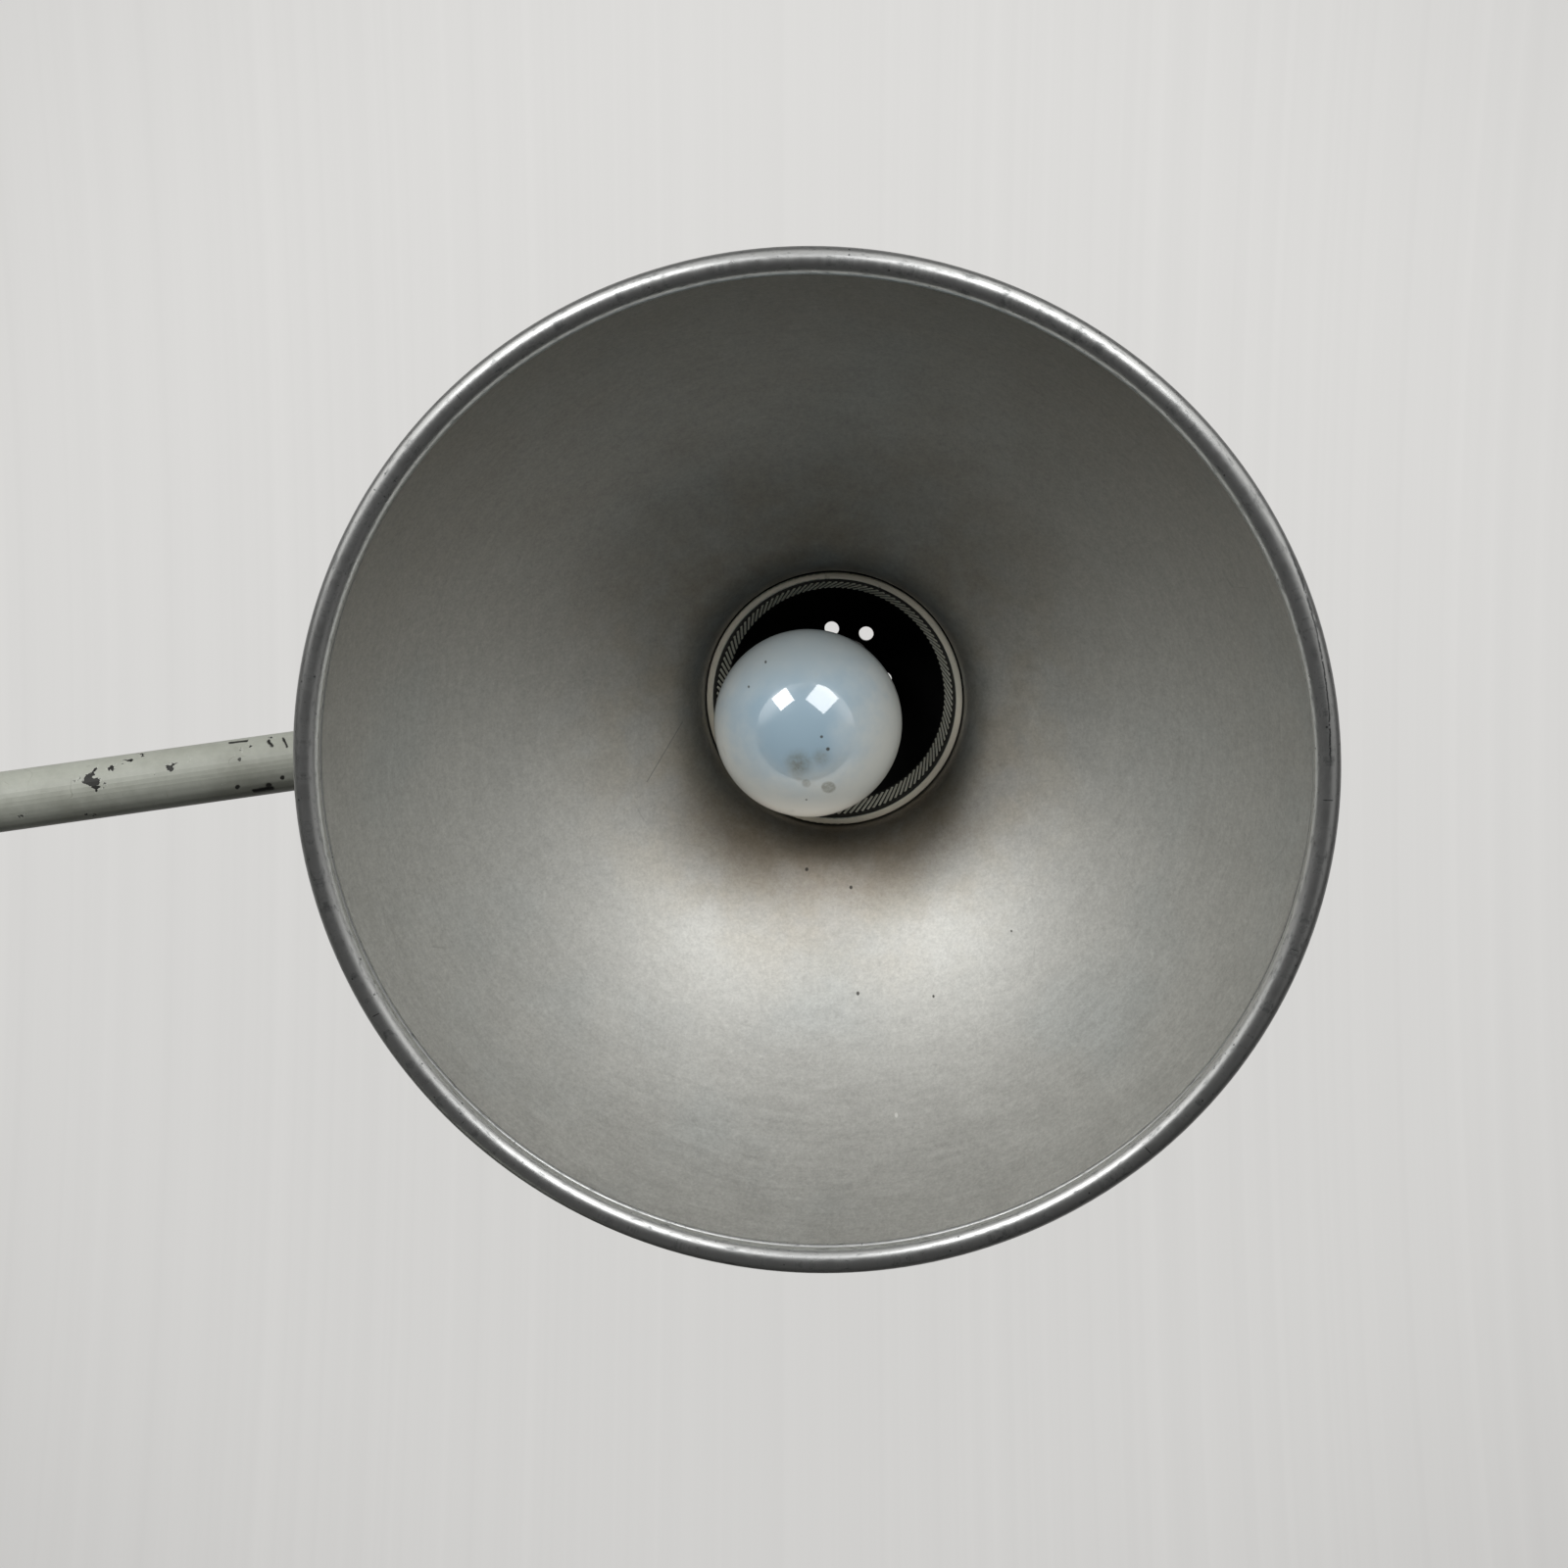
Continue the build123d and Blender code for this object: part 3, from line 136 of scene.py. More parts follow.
class Shape:
    """A mesh in the making, in a frame's own millimetres, shaped by mesh operators."""

    def __init__(self, name: str, place: Place) -> None:
        """Starts an empty mesh.

        Args:
            name: the finished piece's name.
            place: the frame that its coordinates are in.
        """
        self.name = name
        self.place = place
        self.mesh = bmesh.new()
        self.tip: bmesh.types.BMVert | None = None
        self.start: bmesh.types.BMVert | None = None

    def begin(self, r: float, h: float) -> "Shape":
        """Puts the first point of a section, at a radius and a height."""
        self.tip = bmesh.ops.create_vert(self.mesh, co=(r, 0, h))["vert"][0]
        self.start = self.tip
        return self

    def line(self, r: float, h: float) -> "Shape":
        """Draws the section straight on to a radius and a height."""
        made = bmesh.ops.extrude_vert_indiv(self.mesh, verts=[self.tip])["verts"][0]
        made.co = (r, 0, h)
        self.tip = made
        return self

    def arc(self, r: float, h: float, degrees: float, steps: int) -> "Shape":
        """Swings the section's end round a centre.

        Args:
            r: the centre's radius.
            h: the centre's height.
            degrees: how far it swings, from the radius towards the height.
            steps: how many pieces the arc has.

        Returns:
            The shape itself.
        """
        turned = bmesh.ops.spin(
            self.mesh,
            geom=[self.tip],
            cent=(r, 0, h),
            axis=(0, -1, 0),
            angle=math.radians(degrees),
            steps=steps,
        )
        self.tip = next(g for g in turned["geom_last"] if isinstance(g, bmesh.types.BMVert))
        return self

    def close(self) -> "Shape":
        """Joins the section's end to its start."""
        self.mesh.edges.new((self.tip, self.start))
        return self

    def revolve(self, steps: int) -> "Shape":
        """Turns the section once round the frame's Z."""
        bmesh.ops.spin(
            self.mesh,
            geom=self.mesh.verts[:] + self.mesh.edges[:],
            cent=(0, 0, 0),
            axis=(0, 0, 1),
            angle=FULL_TURN,
            steps=steps,
            use_merge=True,
        )
        return self

    def finish(self, body: str, material: bpy.types.Material, sharp: float = 40.0) -> bpy.types.Object:
        """Makes the piece: merges seams, turns faces outwards and puts it on its body.

        Args:
            body: the body that the piece rides on.
            material: its finish.
            sharp: edges that bend more than this, in degrees, stay crisp.

        Returns:
            The piece.
        """
        bmesh.ops.remove_doubles(self.mesh, verts=self.mesh.verts[:], dist=1e-3)
        bmesh.ops.recalc_face_normals(self.mesh, faces=self.mesh.faces[:])
        bmesh.ops.scale(self.mesh, vec=(MM, MM, MM), verts=self.mesh.verts[:])
        bmesh.ops.transform(self.mesh, matrix=self.place.matrix(), verts=self.mesh.verts[:])
        data = bpy.data.meshes.new(self.name)
        self.mesh.to_mesh(data)
        self.mesh.free()
        return put(self.name, data, body, material, sharp)


def put(
    name: str, data: bpy.types.Mesh, body: str, material: bpy.types.Material, sharp: float = 40.0
) -> bpy.types.Object:
    """Puts a finished mesh into the scene, on its body.

    Args:
        name: the piece's name.
        data: its mesh, in the row frame.
        body: the body that it rides on.
        material: its finish.
        sharp: edges that bend more than this, in degrees, stay crisp.

    Returns:
        The piece.
    """
    data.shade_smooth()
    data.set_sharp_from_angle(angle=math.radians(sharp))
    data.materials.clear()
    data.materials.append(material)
    piece = bpy.data.objects.new(name, data)
    bpy.context.scene.collection.objects.link(piece)
    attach(piece, body)
    return piece


def smooth_copy(
    node: str, name: str, material: bpy.types.Material, bevel: float = 0.0, sharp: float = 32.0
) -> bpy.types.Object:
    """Stands in for a solid with a merged, smoothly shaded copy whose edges are eased.

    Args:
        node: the solid's name.
        name: the new piece's name.
        material: its finish.
        bevel: width of the eased edges in millimetres, or 0 for none.
        sharp: edges that bend more than this, in degrees, stay crisp.

    Returns:
        The piece.
    """
    source = frame["nodes"][node]
    mesh = bmesh.new()
    mesh.from_mesh(source.data)
    bmesh.ops.remove_doubles(mesh, verts=mesh.verts[:], dist=2e-6)
    bmesh.ops.dissolve_degenerate(mesh, edges=mesh.edges[:], dist=1e-7)
    data = bpy.data.meshes.new(name)
    mesh.to_mesh(data)
    mesh.free()
    piece = put(name, data, source["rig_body"], material, sharp)
    if bevel:
        ease = piece.modifiers.new("eased_edges", "BEVEL")
        ease.width = bevel * MM
        ease.segments = 2
        ease.limit_method = "ANGLE"
        ease.angle_limit = math.radians(sharp)
        ease.use_clamp_overlap = True
    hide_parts(node)
    return piece


# ------------------------------------------------------------------ shader building


class Graph:
    """One node tree, built by calls that each take a node's type, settings and inputs."""

    def __init__(self, tree: bpy.types.NodeTree) -> None:
        """Empties a tree and starts afresh."""
        self.tree = tree
        tree.nodes.clear()

    def node(self, kind: str, settings: dict | None = None, inputs: dict | None = None) -> bpy.types.Node:
        """Adds a node.

        Args:
            kind: the node's type.
            settings: its properties, set before its sockets.
            inputs: socket name, identifier or number, and the value or field that it gets.

        Returns:
            The node.
        """
        made = self.tree.nodes.new(kind)
        for key, value in (settings or {}).items():
            if key == "stops":
                self._set_stops(made, value)
            else:
                setattr(made, key, value)
        for key, value in (inputs or {}).items():
            socket = self._socket(made, key)
            if isinstance(value, Field):
                self.tree.links.new(value.socket, socket)
            else:
                socket.default_value = value
        return made

    def field(
        self, kind: str, output: str | int, settings: dict | None = None, inputs: dict | None = None
    ) -> "Field":
        """Adds a node and returns one of its outputs.

        Args:
            kind: the node's type.
            output: the output's name or number.
            settings: its properties.
            inputs: its sockets' values.

        Returns:
            The output, ready for sums.
        """
        return Field(self, self.node(kind, settings, inputs).outputs[output])

    def vectors(self, operation: str, output: str | int, inputs: dict) -> "Field":
        """Adds a Vector Math node and returns one of its outputs."""
        return self.field("ShaderNodeVectorMath", output, {"operation": operation}, inputs)

    def dot(self, first: "Field | Vector", second: "Field | Vector") -> "Field":
        """The dot product of two vectors."""
        return self.vectors("DOT_PRODUCT", "Value", {0: first, 1: second})

    @staticmethod
    def _set_stops(node: bpy.types.Node, stops: list[tuple[float, tuple]]) -> None:
        """Gives a colour ramp its stops."""
        ramp = node.color_ramp
        while len(ramp.elements) < len(stops):
            ramp.elements.new(0.5)
        for element, (position, colour) in zip(ramp.elements, stops):
            element.position = position
            element.color = (*colour, 1.0)

    @staticmethod
    def _socket(node: bpy.types.Node, key: str | int) -> bpy.types.NodeSocket:
        """Finds an input by number, identifier or name."""
        if isinstance(key, int):
            return node.inputs[key]
        for socket in node.inputs:
            if socket.identifier == key:
                return socket
        return node.inputs[key]


class Field:
    """A value, colour or vector that varies over a surface."""

    def __init__(self, graph: Graph, socket: bpy.types.NodeSocket) -> None:
        """Wraps a node's output."""
        self.graph = graph
        self.socket = socket

    def _math(self, operation: str, first: "Field | float", second: "Field | float" = 0.0) -> "Field":
        """Adds a Math node."""
        return self.graph.field("ShaderNodeMath", 0, {"operation": operation}, {0: first, 1: second})

    def __add__(self, other: "Field | float") -> "Field":
        """Sum."""
        return self._math("ADD", self, other)

    def __radd__(self, other: float) -> "Field":
        """Sum with a number first."""
        return self._math("ADD", other, self)

    def __sub__(self, other: "Field | float") -> "Field":
        """Difference."""
        return self._math("SUBTRACT", self, other)

    def __rsub__(self, other: float) -> "Field":
        """Difference with a number first."""
        return self._math("SUBTRACT", other, self)

    def __mul__(self, other: "Field | float") -> "Field":
        """Product."""
        return self._math("MULTIPLY", self, other)

    def __rmul__(self, other: float) -> "Field":
        """Product with a number first."""
        return self._math("MULTIPLY", other, self)

    def __truediv__(self, other: "Field | float") -> "Field":
        """Quotient."""
        return self._math("DIVIDE", self, other)

    def __rtruediv__(self, other: float) -> "Field":
        """Quotient with a number first."""
        return self._math("DIVIDE", other, self)

    def size(self) -> "Field":
        """The value without its sign."""
        return self._math("ABSOLUTE", self)

    def root(self) -> "Field":
        """The square root."""
        return self._math("SQRT", self)

    def most(self, other: "Field | float") -> "Field":
        """The larger of two."""
        return self._math("MAXIMUM", self, other)

    def least(self, other: "Field | float") -> "Field":
        """The smaller of two."""
        return self._math("MINIMUM", self, other)

    def ramp(self, low: float, high: float) -> "Field":
        """Rises smoothly from 0 at low to 1 at high, or falls if low is the larger."""
        flip = low > high
        bottom, top = (high, low) if flip else (low, high)
        eased = self.graph.field(
            "ShaderNodeMapRange",
            "Result",
            {"interpolation_type": "SMOOTHSTEP"},
            {"Value": self, "From Min": bottom, "From Max": top},
        )
        return 1 - eased if flip else eased

    def part(self, axis: int) -> "Field":
        """One component of a vector."""
        return self.graph.field("ShaderNodeSeparateXYZ", axis, None, {0: self})

    def off_axis(self) -> "Field":
        """How far a place is from the frame's Z axis."""
        x, y = self.part(0), self.part(1)
        return (x * x + y * y).root()


class Material(Graph):
    """A material whose Principled shader is filled in socket by socket."""

    def __init__(self, name: str) -> None:
        """Starts a material with a bare Principled shader."""
        self.material = bpy.data.materials.new(name)
        self.material.use_nodes = True
        super().__init__(self.material.node_tree)
        self.shader = self.node("ShaderNodeBsdfPrincipled")
        out = self.node("ShaderNodeOutputMaterial")
        self.tree.links.new(self.shader.outputs[0], out.inputs[0])
        self.place = self.field("ShaderNodeTexCoord", "Object")

    def set(self, **values: "Field | float | tuple") -> None:
        """Sets shader sockets, named with underscores for spaces."""
        for key, value in values.items():
            socket = self.shader.inputs[key.replace("_", " ")]
            if isinstance(value, Field):
                self.tree.links.new(value.socket, socket)
            else:
                socket.default_value = (*value, 1.0) if isinstance(value, tuple) else value

    def local(self, place: Place) -> Field:
        """Object coordinates turned into a frame's own millimetres."""
        turn = Matrix((place.x, place.y, place.z))
        return self.field(
            "ShaderNodeMapping",
            0,
            {"vector_type": "POINT"},
            {
                "Vector": self.place,
                "Scale": Vector.Fill(3, 1 / MM),
                "Rotation": turn.to_euler("XYZ"),
                "Location": turn @ place.origin / -MM,
            },
        )

    def millimetres(self) -> Field:
        """Object coordinates in millimetres."""
        return self.tint(self.place, 1 / MM)

    def vector(self, x: "Field | float", y: "Field | float", z: "Field | float") -> Field:
        """Puts three values together."""
        return self.field("ShaderNodeCombineXYZ", 0, None, {0: x, 1: y, 2: z})

    def noise(self, where: Field, size: float, detail: float = 3.0, rough: float = 0.5) -> Field:
        """Soft noise from 0 to 1.

        Args:
            where: coordinates in millimetres.
            size: millimetres from one blotch to the next.
            detail: how many finer layers it has.
            rough: how strong the finer layers are.

        Returns:
            The noise.
        """
        return self.field(
            "ShaderNodeTexNoise",
            0,
            {"noise_dimensions": "3D"},
            {"Vector": where, "Scale": 1.0 / size, "Detail": detail, "Roughness": rough},
        )

    def specks(self, where: Field, spacing: float, radius: float, share: float) -> Field:
        """Small round marks, 1 inside and 0 outside.

        Args:
            where: coordinates in millimetres.
            spacing: millimetres between possible marks.
            radius: a mark's radius in millimetres.
            share: the share of places that have one.

        Returns:
            The mask.
        """
        cells = self.node(
            "ShaderNodeTexVoronoi",
            {"voronoi_dimensions": "3D", "feature": "F1"},
            {"Vector": where, "Scale": 1.0 / spacing},
        )
        near = Field(self, cells.outputs["Distance"]).ramp(radius / spacing, 0.4 * radius / spacing)
        pick = Field(self, cells.outputs["Color"]).part(0).ramp(share + 0.02, share)
        return near * pick

    def hairlines(self, where: Field, size: float, width: float, share: float) -> Field:
        """Thin broken lines that wander over a surface, 1 on a line.

        Args:
            where: coordinates in millimetres, stretched along the lines.
            size: millimetres from one bend to the next.
            width: a line's width as a part of the noise's range.
            share: from 0 to 1, how much of the lines is left out.

        Returns:
            The mask.
        """
        line = (self.noise(where, size, 1.0, 0.4) - 0.5).size().ramp(width, 0.0)
        gaps = self.noise(where, size * 0.7, 2.0, 0.6).ramp(share, share + 0.04)
        return line * gaps

    def mix(self, first: "Field | Colour", second: "Field | Colour", factor: "Field | float") -> Field:
        """Mixes two colours.

        Args:
            first: the colour where the factor is 0.
            second: the colour where it is 1.
            factor: how much of the second shows.

        Returns:
            The mixed colour.
        """
        inputs = {"Factor_Float": factor, "A_Color": self._padded(first), "B_Color": self._padded(second)}
        return self.field("ShaderNodeMix", 2, {"data_type": "RGBA", "clamp_factor": True}, inputs)

    @staticmethod
    def _padded(colour: "Field | Colour") -> "Field | tuple":
        """Gives a plain colour the fourth number that a socket wants."""
        return colour if isinstance(colour, Field) else (*colour, 1.0)

    def tint(self, colour: "Field | Colour | Vector", amount: "Field | float") -> Field:
        """Scales a colour or a vector: 1 leaves it as it is."""
        return self.vectors("SCALE", 0, {0: colour, "Scale": amount})

    def distance(self, first: "Field | tuple", second: "Field | tuple") -> Field:
        """How far two points are from each other."""
        return self.vectors("DISTANCE", "Value", {0: first, 1: second})

    def spot(self, where: Field, mark: "Mark") -> Field:
        """One round mark.

        Args:
            where: flat coordinates in millimetres.
            mark: the mark.

        Returns:
            The mask, the mark's strength inside and 0 outside.
        """
        away = self.distance(where, (*mark.at, 0.0))
        return away.ramp(mark.radius, mark.radius * (1 - mark.softness)) * mark.strength

    def spots(self, where: Field, marks: "tuple[Mark, ...]") -> Field:
        """Several round marks together."""
        found = self.spot(where, marks[0])
        for mark in marks[1:]:
            found = found.most(self.spot(where, mark))
        return found

    def stroke(self, where: Field, line: "Stroke") -> Field:
        """A straight scratch between two points.

        Args:
            where: flat coordinates in millimetres.
            line: the scratch.

        Returns:
            The mask, 1 on the scratch.
        """
        start = Vector((*line.start, 0.0))
        way = Vector((*line.end, 0.0)) - start
        offset = self.vectors("SUBTRACT", 0, {0: where, 1: start})
        share = (self.dot(offset, way) / way.length_squared).most(0.0).least(1.0)
        away = self.distance(offset, self.tint(way, share))
        return away.ramp(line.half_width, line.half_width * 0.3)

    def bump(self, height: Field, depth: float, strength: float = 1.0) -> Field:
        """Turns a height from 0 to 1 into a normal.

        Args:
            height: the relief.
            depth: how deep it is, in millimetres.
            strength: how strongly it shades.

        Returns:
            The normal.
        """
        inputs = {"Height": height, "Distance": depth * MM, "Strength": strength}
        return self.field("ShaderNodeBump", 0, None, inputs)


def linear(red: int, green: int, blue: int) -> Colour:
    """A colour picker's 0 to 255 values as linear light."""
    parts = []
    for value in (red, green, blue):
        share = value / 255
        parts.append(share / 12.92 if share <= 0.04045 else ((share + 0.055) / 1.055) ** 2.4)
    return tuple(parts)


# ------------------------------------------------------------------ finishes


def around(turn: float, reach: float) -> tuple[float, float]:
    """A place on a flat view of a round piece.

    Args:
        turn: degrees from the piece's X axis towards its Y axis.
        reach: the distance from the middle in millimetres.

    Returns:
        The place as X and Y in millimetres.
    """
    angle = math.radians(turn)
    return (reach * math.cos(angle), reach * math.sin(angle))


@dataclass(frozen=True)
class Mark:
    """A speck, chip or smudge, set in coarse steps on a flat view of its piece."""

    at: tuple[float, float]
    radius: float
    strength: float = 1.0
    softness: float = 0.5  # the share of its radius that fades


@dataclass(frozen=True)
class Stroke:
    """A straight scratch or scrape, set in coarse steps on a flat view of its piece."""

    start: tuple[float, float]
    end: tuple[float, float]
    half_width: float


@dataclass(frozen=True)
class SpunAluminium:
    """Bare spun sheet: faint turning marks, handling scratches, specks and a dull rolled edge, with
    painted shade round the neck, under it and over the upper bowl, and a painted highlight at the edge's
    lip.
    """

    name: str
    place: Place
    sheet: Colour = linear(205, 205, 201)
    warm: Colour = linear(200, 193, 178)
    cool: Colour = linear(196, 202, 202)
    edge: Colour = linear(186, 187, 186)
    # the lip's pale colour is a painted highlight on the raised line inside the rolled edge
    lip: Colour = linear(228, 230, 228)
    soot: Colour = linear(44, 38, 32)
    # the brown stain colour also serves as the painted shade round the neck and over the upper bowl
    stain: Colour = linear(118, 104, 86)
    scratched: Colour = linear(150, 150, 146)
    bright: Colour = linear(240, 240, 236)
    pitted: Colour = linear(64, 66, 68)
    scuffed: Colour = linear(112, 114, 114)
    bead_r: float = 139.4  # mm, where the rolled edge starts
    bead_depth: float = 4.2  # mm, where it ends behind the rim
    bead_round: float = 140.0  # mm, the radius at which the edge's pits are round
    scuff_round: float = 34.0  # a smaller one, at which its scuffs are drawn out round it
    warm_ring: tuple[float, float] = (104.0, 56.0)  # mm off the axis, where the warm tone comes in
    # mm off the axis, where the painted shade round the neck comes in, and where it comes in under the
    # neck
    neck_shade_ring: tuple[float, float] = (72.0, 46.0)
    below_neck_shade_ring: tuple[float, float] = (90.0, 50.0)
    seam_r: float = 144.2  # mm, the middle of the open seam in the edge
    seam_lean: float = 0.045  # how far it moves outwards with height
    seam_from: tuple[float, float] = (-12.0, -4.0)  # mm up, where the seam starts
    seam_to: tuple[float, float] = (58.0, 46.0)
    seam_side: tuple[float, float] = (-118.0, -126.0)  # mm across, the side that it is on
    specks: tuple[Mark, ...] = (
        Mark(around(-75, 55), 0.75, 0.9),
        Mark(around(-90, 60), 0.7, 0.9),
        Mark(around(-90, 90), 0.7, 0.85),
        Mark(around(-105, 95), 0.5, 0.9),
        Mark(around(-125, 90), 0.45, 0.8),
    )
    chip: Mark = Mark(around(-95, 120), 0.7)
    scratch: Stroke = Stroke(around(0, 50), around(-15, 65), 0.3)

    def material(self) -> bpy.types.Material:
        """Builds the finish."""
        m = Material(self.name)
        here = m.local(self.place)
        x, y, depth = here.part(0), here.part(1), here.part(2)
        radius = here.off_axis()
        way = radius + depth * 1.3

        # turning marks run round the bowl: their noise hardly changes with the angle
        turning = m.noise(m.vector(x / radius * 9, y / radius * 9, way * 2.2), 1.6, 4.0, 0.6)
        streaks = m.noise(m.vector(x / radius * 8, y / radius * 8, way * 0.9), 1.0, 3.0, 0.65)
        clouds = m.noise(here, 60.0, 3.0, 0.5)
        patches = m.noise(here, 17.0, 4.0, 0.6)
        grain = m.noise(here, 0.9, 2.0, 0.7)
        mottle = m.noise(here, 2.3, 3.0, 0.65)

        # handling scratches that run two ways, and specks of dirt
        stretched = m.vector(x * 0.25 + y * 0.1, y - x * 0.35, depth * 0.5)
        scratches = m.hairlines(stretched, 22.0, 0.003, 0.66)
        crossing = m.vector(y * 0.3 + depth * 0.2, x * 1.1 + y * 0.4, depth * 0.4)
        scratches = scratches.most(m.hairlines(crossing, 16.0, 0.0025, 0.68)) * 0.5
        flat = m.vector(x, y, 0.0)
        scratches = scratches.most(m.stroke(flat, self.scratch))
        specks = m.specks(here, 24.0, 0.4, 0.16).most(m.specks(here, 9.0, 0.2, 0.08)) * 0.8
        specks = specks.most(m.spots(flat, self.specks))

        # the rolled edge, and a painted highlight on the line where it meets the bowl
        bead = radius.ramp(self.bead_r - 0.3, self.bead_r + 0.3)
        bead = bead * depth.ramp(self.bead_depth, self.bead_depth - 0.3)
        lip = radius.ramp(self.bead_r - 0.9, self.bead_r - 0.4)
        lip = lip * radius.ramp(self.bead_r + 1.2, self.bead_r + 0.5)
        inside = 1 - bead

        # the sheet's colour, warmer round the neck, and darker and browner round the neck, under it and
        # over the upper bowl, which is painted shade
        warmth = radius.ramp(*self.warm_ring) * patches.ramp(0.35, 0.65) * 0.5
        colour = m.mix(self.sheet, self.warm, warmth)
        colour = m.mix(colour, self.cool, clouds.ramp(0.5, 0.75) * 0.4)
        below = (y / radius).ramp(0.1, -0.9)
        tone = patches.ramp(0.3, 0.7) * 0.12
        # painted shade round the neck, stronger under it
        grime = radius.ramp(*self.neck_shade_ring) * (0.12 + tone)
        grime = grime + radius.ramp(*self.below_neck_shade_ring) * below * 0.5
        colour = m.mix(colour, self.stain, grime)
        # painted shade over the upper bowl
        upper_bowl_shade = (y / radius).ramp(-0.25, 0.8) * (0.75 + patches * 0.5)
        colour = m.mix(colour, self.stain, upper_bowl_shade * 0.42)

        # its grain, then the marks on it
        texture = (grain - 0.5) * 0.42 + (mottle - 0.5) * 0.34
        texture = texture + (streaks - 0.5) * 0.26 + (patches - 0.5) * 0.12
        colour = m.tint(colour, 1 + texture * inside)
        colour = m.mix(colour, self.edge, bead)
        # the painted highlight along the lip
        colour = m.mix(colour, self.lip, lip * bead)
        colour = m.mix(colour, self.scratched, scratches * 0.6)
        colour = m.mix(colour, self.soot, specks)
        colour = m.mix(colour, self.bright, m.spot(flat, self.chip))

        # pits, scuffs and an open seam in the rolled edge
        rolled = m.vector(x / radius * self.bead_round, y / radius * self.bead_round, depth)
        pits = m.specks(here, 3.2, 0.42, 0.42).most(m.specks(rolled, 1.7, 0.24, 0.3)) * bead
        drawn = m.vector(x / radius * self.scuff_round, y / radius * self.scuff_round, depth * 1.4)
        scuffs = m.noise(drawn, 1.1, 4.0, 0.7)
        wander = radius - self.seam_r - y * self.seam_lean - (scuffs - 0.5) * 1.5
        seam = wander.size().ramp(0.34, 0.12) * scuffs.ramp(0.40, 0.46) * bead
        seam = seam * x.ramp(*self.seam_side) * y.ramp(*self.seam_from) * y.ramp(*self.seam_to)
        colour = m.mix(colour, self.pitted, (pits * 0.8).most(seam * 0.85))
        colour = m.mix(colour, self.scuffed, bead * scuffs.ramp(0.5, 0.72) * 0.8)
        rough = 0.55 + (patches - 0.5) * 0.10 + (streaks - 0.5) * 0.12 + scratches * 0.08
        rough = rough * inside + bead * (0.34 + (scuffs - 0.5) * 0.4)
        relief = turning * 0.35 + grain * 0.3 + streaks * 0.3 - scratches * 0.5 - pits * 0.8 - seam * 0.8
        m.set(
            Base_Color=colour,
            Metallic=1.0 - specks * 0.9 - bead * 0.12,
            Roughness=rough,
            Normal=m.bump(relief, 0.03, 0.55),
        )
        return m.material


# the upper tube's chips, in millimetres along the tube from the head's pivot, and up from its axis
ARM_CHIPS = (
    Mark((-128, 3), 0.8, 0.9, 0.4),
    Mark((-130, -6), 0.9, 0.9, 0.4),
    Mark((-120, -7), 1.1, 0.9, 0.4),
    Mark((-115, -5), 0.9, 0.9, 0.4),
)
ARM_SCRAPES = (
    Stroke((-118, 8), (-117, 6), 0.8),
    Stroke((-113, 8), (-112, 5), 0.6),
    Stroke((-125, -8), (-119, -8), 0.9),
    Stroke((-131, 9), (-125, 9), 0.5),
)


